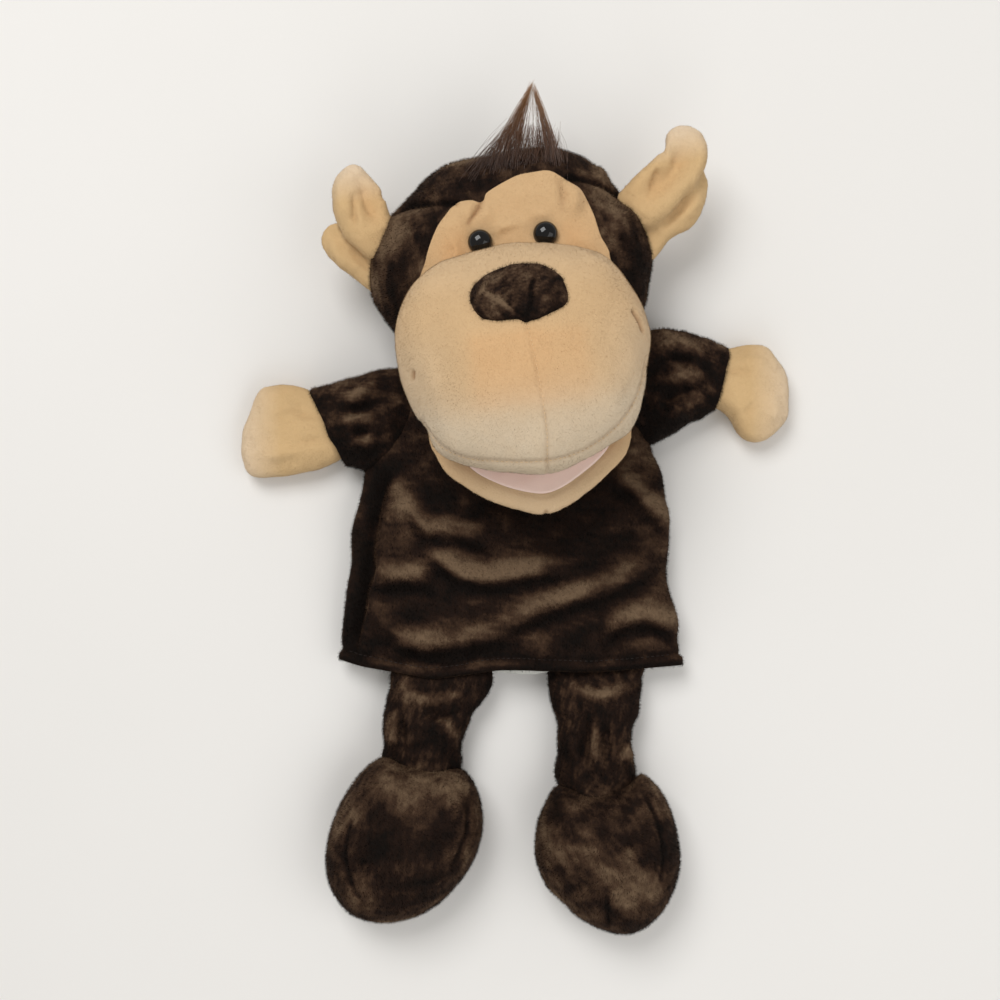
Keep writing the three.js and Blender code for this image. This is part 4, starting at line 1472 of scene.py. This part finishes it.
def make_hair():
    random.seed(7)
    verts, faces = [], []
    # Each clump: where its roots run, its tip, how far its strands spread, how many there are,
    # and which way they bow.
    clumps = [
        ((-7, 7), (20.3, 132.0), 0.7, 190, -2.0),
        ((21, 29), (20.3, 130.5), 0.6, 150, 2.2),
        ((-24, -4), (13.0, 117.0), 2.4, 130, -3.0),
        ((0, 14), (15.0, 112.0), 3.0, 120, -0.5),
        ((8, 24), (22.0, 111.0), 3.4, 130, 0.8),
        ((16, 31), (26.0, 108.0), 2.6, 100, 2.0),
        ((4, 24), (20.5, 130.0), 1.0, 26, 0.0),
        ((-20, 30), (8.0, 100.0), 8.0, 150, 0.0),
    ]
    steps = 10
    for (low, high), (tip_u, tip_v), spread, count, bow in clumps:
        for _ in range(count):
            root_u = random.uniform(low, high)
            root_v = 85 + 5 * math.sin((root_u + 24) / 54 * math.pi) + random.uniform(-6.5, 4)
            root = np.array([root_u, root_v, 57 + random.uniform(-5, 3)])
            tip = np.array([random.gauss(tip_u, spread), tip_v, 48 + random.gauss(0, 2.5)])
            tip = root + (tip - root) * (1 - abs(random.gauss(0, 0.13)))
            sway = np.array([random.gauss(bow, 0.8), random.gauss(0, 1.0), random.uniform(1, 6)])
            middle = (root + tip) / 2 + sway
            radius = random.uniform(0.09, 0.17)
            for k in range(steps):
                t = k / (steps - 1)
                p = (1 - t) ** 2 * root + 2 * t * (1 - t) * middle + t * t * tip
                r = radius * (1 - 0.75 * t)
                for corner in range(3):
                    a = corner * 2 * math.pi / 3
                    verts.append(p + np.array([math.cos(a) * r, 0, math.sin(a) * r]))
                if k:
                    b = len(verts) - 6
                    for c in range(3):
                        d = (c + 1) % 3
                        faces.append((b + c, b + d, b + 3 + d, b + 3 + c))
    hair = new_object("hair_strands", head_point(np.array(verts)), faces)
    n = Nodes("hair_look")
    position = n.add("ShaderNodeSeparateXYZ", {"Vector": n.place()}).outputs["Y"]
    share = n.add("ShaderNodeMapRange", {"Value": position, "From Min": 0.165, "From Max": 0.205}).outputs[0]
    streak = n.noise(n.place((1, 0.08, 1)), 900, 2.0)
    color = n.ramp(
        n.math("ADD", n.math("MULTIPLY", share, 0.7), n.math("MULTIPLY", streak, 0.35)),
        [(0.1, linear(48, 25, 12)), (0.45, linear(100, 62, 31)), (0.95, linear(158, 110, 62))],
    )
    look = n.finish(color, n.span(streak, 0.3, 0.5), [(streak, 0.2, 0.1)], 0.1)
    dress(hair, look, "head", "hair_tuft", slot="hair")


make_hair()

# ---- Stitches ----


def stitches(name, surface, path, material, body, pitch=2.6, length=1.9, radius=0.16, lift=0.05):
    """A row of short threads along a path, lying on a surface that is seen from above."""
    line = smooth_line(path, 400)
    steps = np.concatenate([[0], np.cumsum(np.linalg.norm(np.diff(line, axis=0), axis=1))])
    verts, faces, first = [], [], 0
    at = 0.0
    while at + length < steps[-1]:
        span = np.linspace(at, at + length, 5)
        xy = np.stack([np.interp(span, steps, line[:, k]) for k in range(2)], 1)
        z = drop(surface, xy, -1)
        at += pitch
        if (z < 0).any() or np.ptp(z) > 2:
            continue
        arch = np.array([-0.35, 0.12, 0.2, 0.12, -0.35])
        along = (xy[-1] - xy[0]) / max(np.linalg.norm(xy[-1] - xy[0]), 1e-6)
        across = np.array([-along[1], along[0]])
        for p, height in zip(xy, z + arch + lift):
            for corner in range(6):
                a = corner * math.pi / 3
                offset = across * math.cos(a) * radius
                verts.append((p[0] + offset[0], p[1] + offset[1], height + math.sin(a) * radius))
        for k in range(4):
            b = first + 6 * k
            for c in range(6):
                d = (c + 1) % 6
                faces.append((b + c, b + d, b + 6 + d, b + 6 + c))
        first += 30
    row = new_object(name, np.array(verts), faces)
    return dress(row, material, body)


torso_tree = tree(torso)
hem_row = [(x, y + HEM_STITCH) for x, y in [(-84, -77.8), *HEM[1:-1], (78, -79.5)]]
stitches("hem_stitches", torso_tree, hem_row, DARK_THREAD, "torso")
lip_row = head_point([(*p, 0) for p in LIP_SEAM])[:, :2]
stitches("lip_stitches", muzzle_tree, lip_row, PALE_THREAD, "head", 2.2, 1.5, 0.13)
centre_row = head_point([(*p, 0) for p in CENTRE_SEAM])[:, :2]
stitches("muzzle_stitches", muzzle_tree, centre_row, PALE_THREAD, "head", 1.8, 1.2, 0.12)

# ---- Hidden hard and woven parts kept from the CAD ----

for node, material, slot in (
    ("finger_pocket", WHITE, "white_lining"),
    ("thumb_pocket", WHITE, "white_lining"),
    ("mouth_roof_board", CARD, "mouth_board"),
    ("jaw_board", CARD, "mouth_board"),
    ("eye_washer_left", WASHER, "eye_washer"),
    ("eye_washer_right", WASHER, "eye_washer"),
):
    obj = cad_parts[node]
    obj.data.materials.clear()
    obj.data.materials.append(material)

# ---- Floor, light and camera ----


def make_stage():
    corners = [(x * FLOOR_HALF, y * FLOOR_HALF, 0) for x, y in ((-1, -1), (1, -1), (1, 1), (-1, 1))]
    floor = new_object("floor", corners, [(0, 1, 2, 3)])
    n = Nodes("floor_look")
    cloudy = n.noise(n.place(), 3.0)
    color = n.mix(cloudy, linear(226, 224, 220), linear(232, 230, 227))
    floor.data.materials.append(n.finish(color, n.span(cloudy, 0.8, 0.9), [(cloudy, 0.05, 0.1)]))
    world = bpy.data.worlds.new("studio")
    world.use_nodes = True
    world.node_tree.nodes["Background"].inputs["Color"].default_value = (1.0, 0.98, 0.95, 1)
    world.node_tree.nodes["Background"].inputs["Strength"].default_value = 0.45
    bpy.context.scene.world = world
    for name, place, size, power in LIGHTS:
        light = bpy.data.lights.new(name, "AREA")
        light.size = size
        light.energy = power
        lamp = bpy.data.objects.new(name, light)
        lamp.location = place
        lamp.rotation_euler = (Vector((0, 0, 0.03)) - Vector(place)).to_track_quat("-Z", "Y").to_euler()
        bpy.context.scene.collection.objects.link(lamp)
    bpy.context.scene.view_settings.view_transform = "Standard"
    camera = bpy.data.objects.new("camera", bpy.data.cameras.new("camera"))
    camera.location = CAMERA_AT
    camera.data.sensor_width = CAMERA_SENSOR
    camera.data.lens = CAMERA_LENS
    camera.data.clip_start = 0.01
    bpy.context.scene.collection.objects.link(camera)
    bpy.context.scene.camera = camera


make_stage()
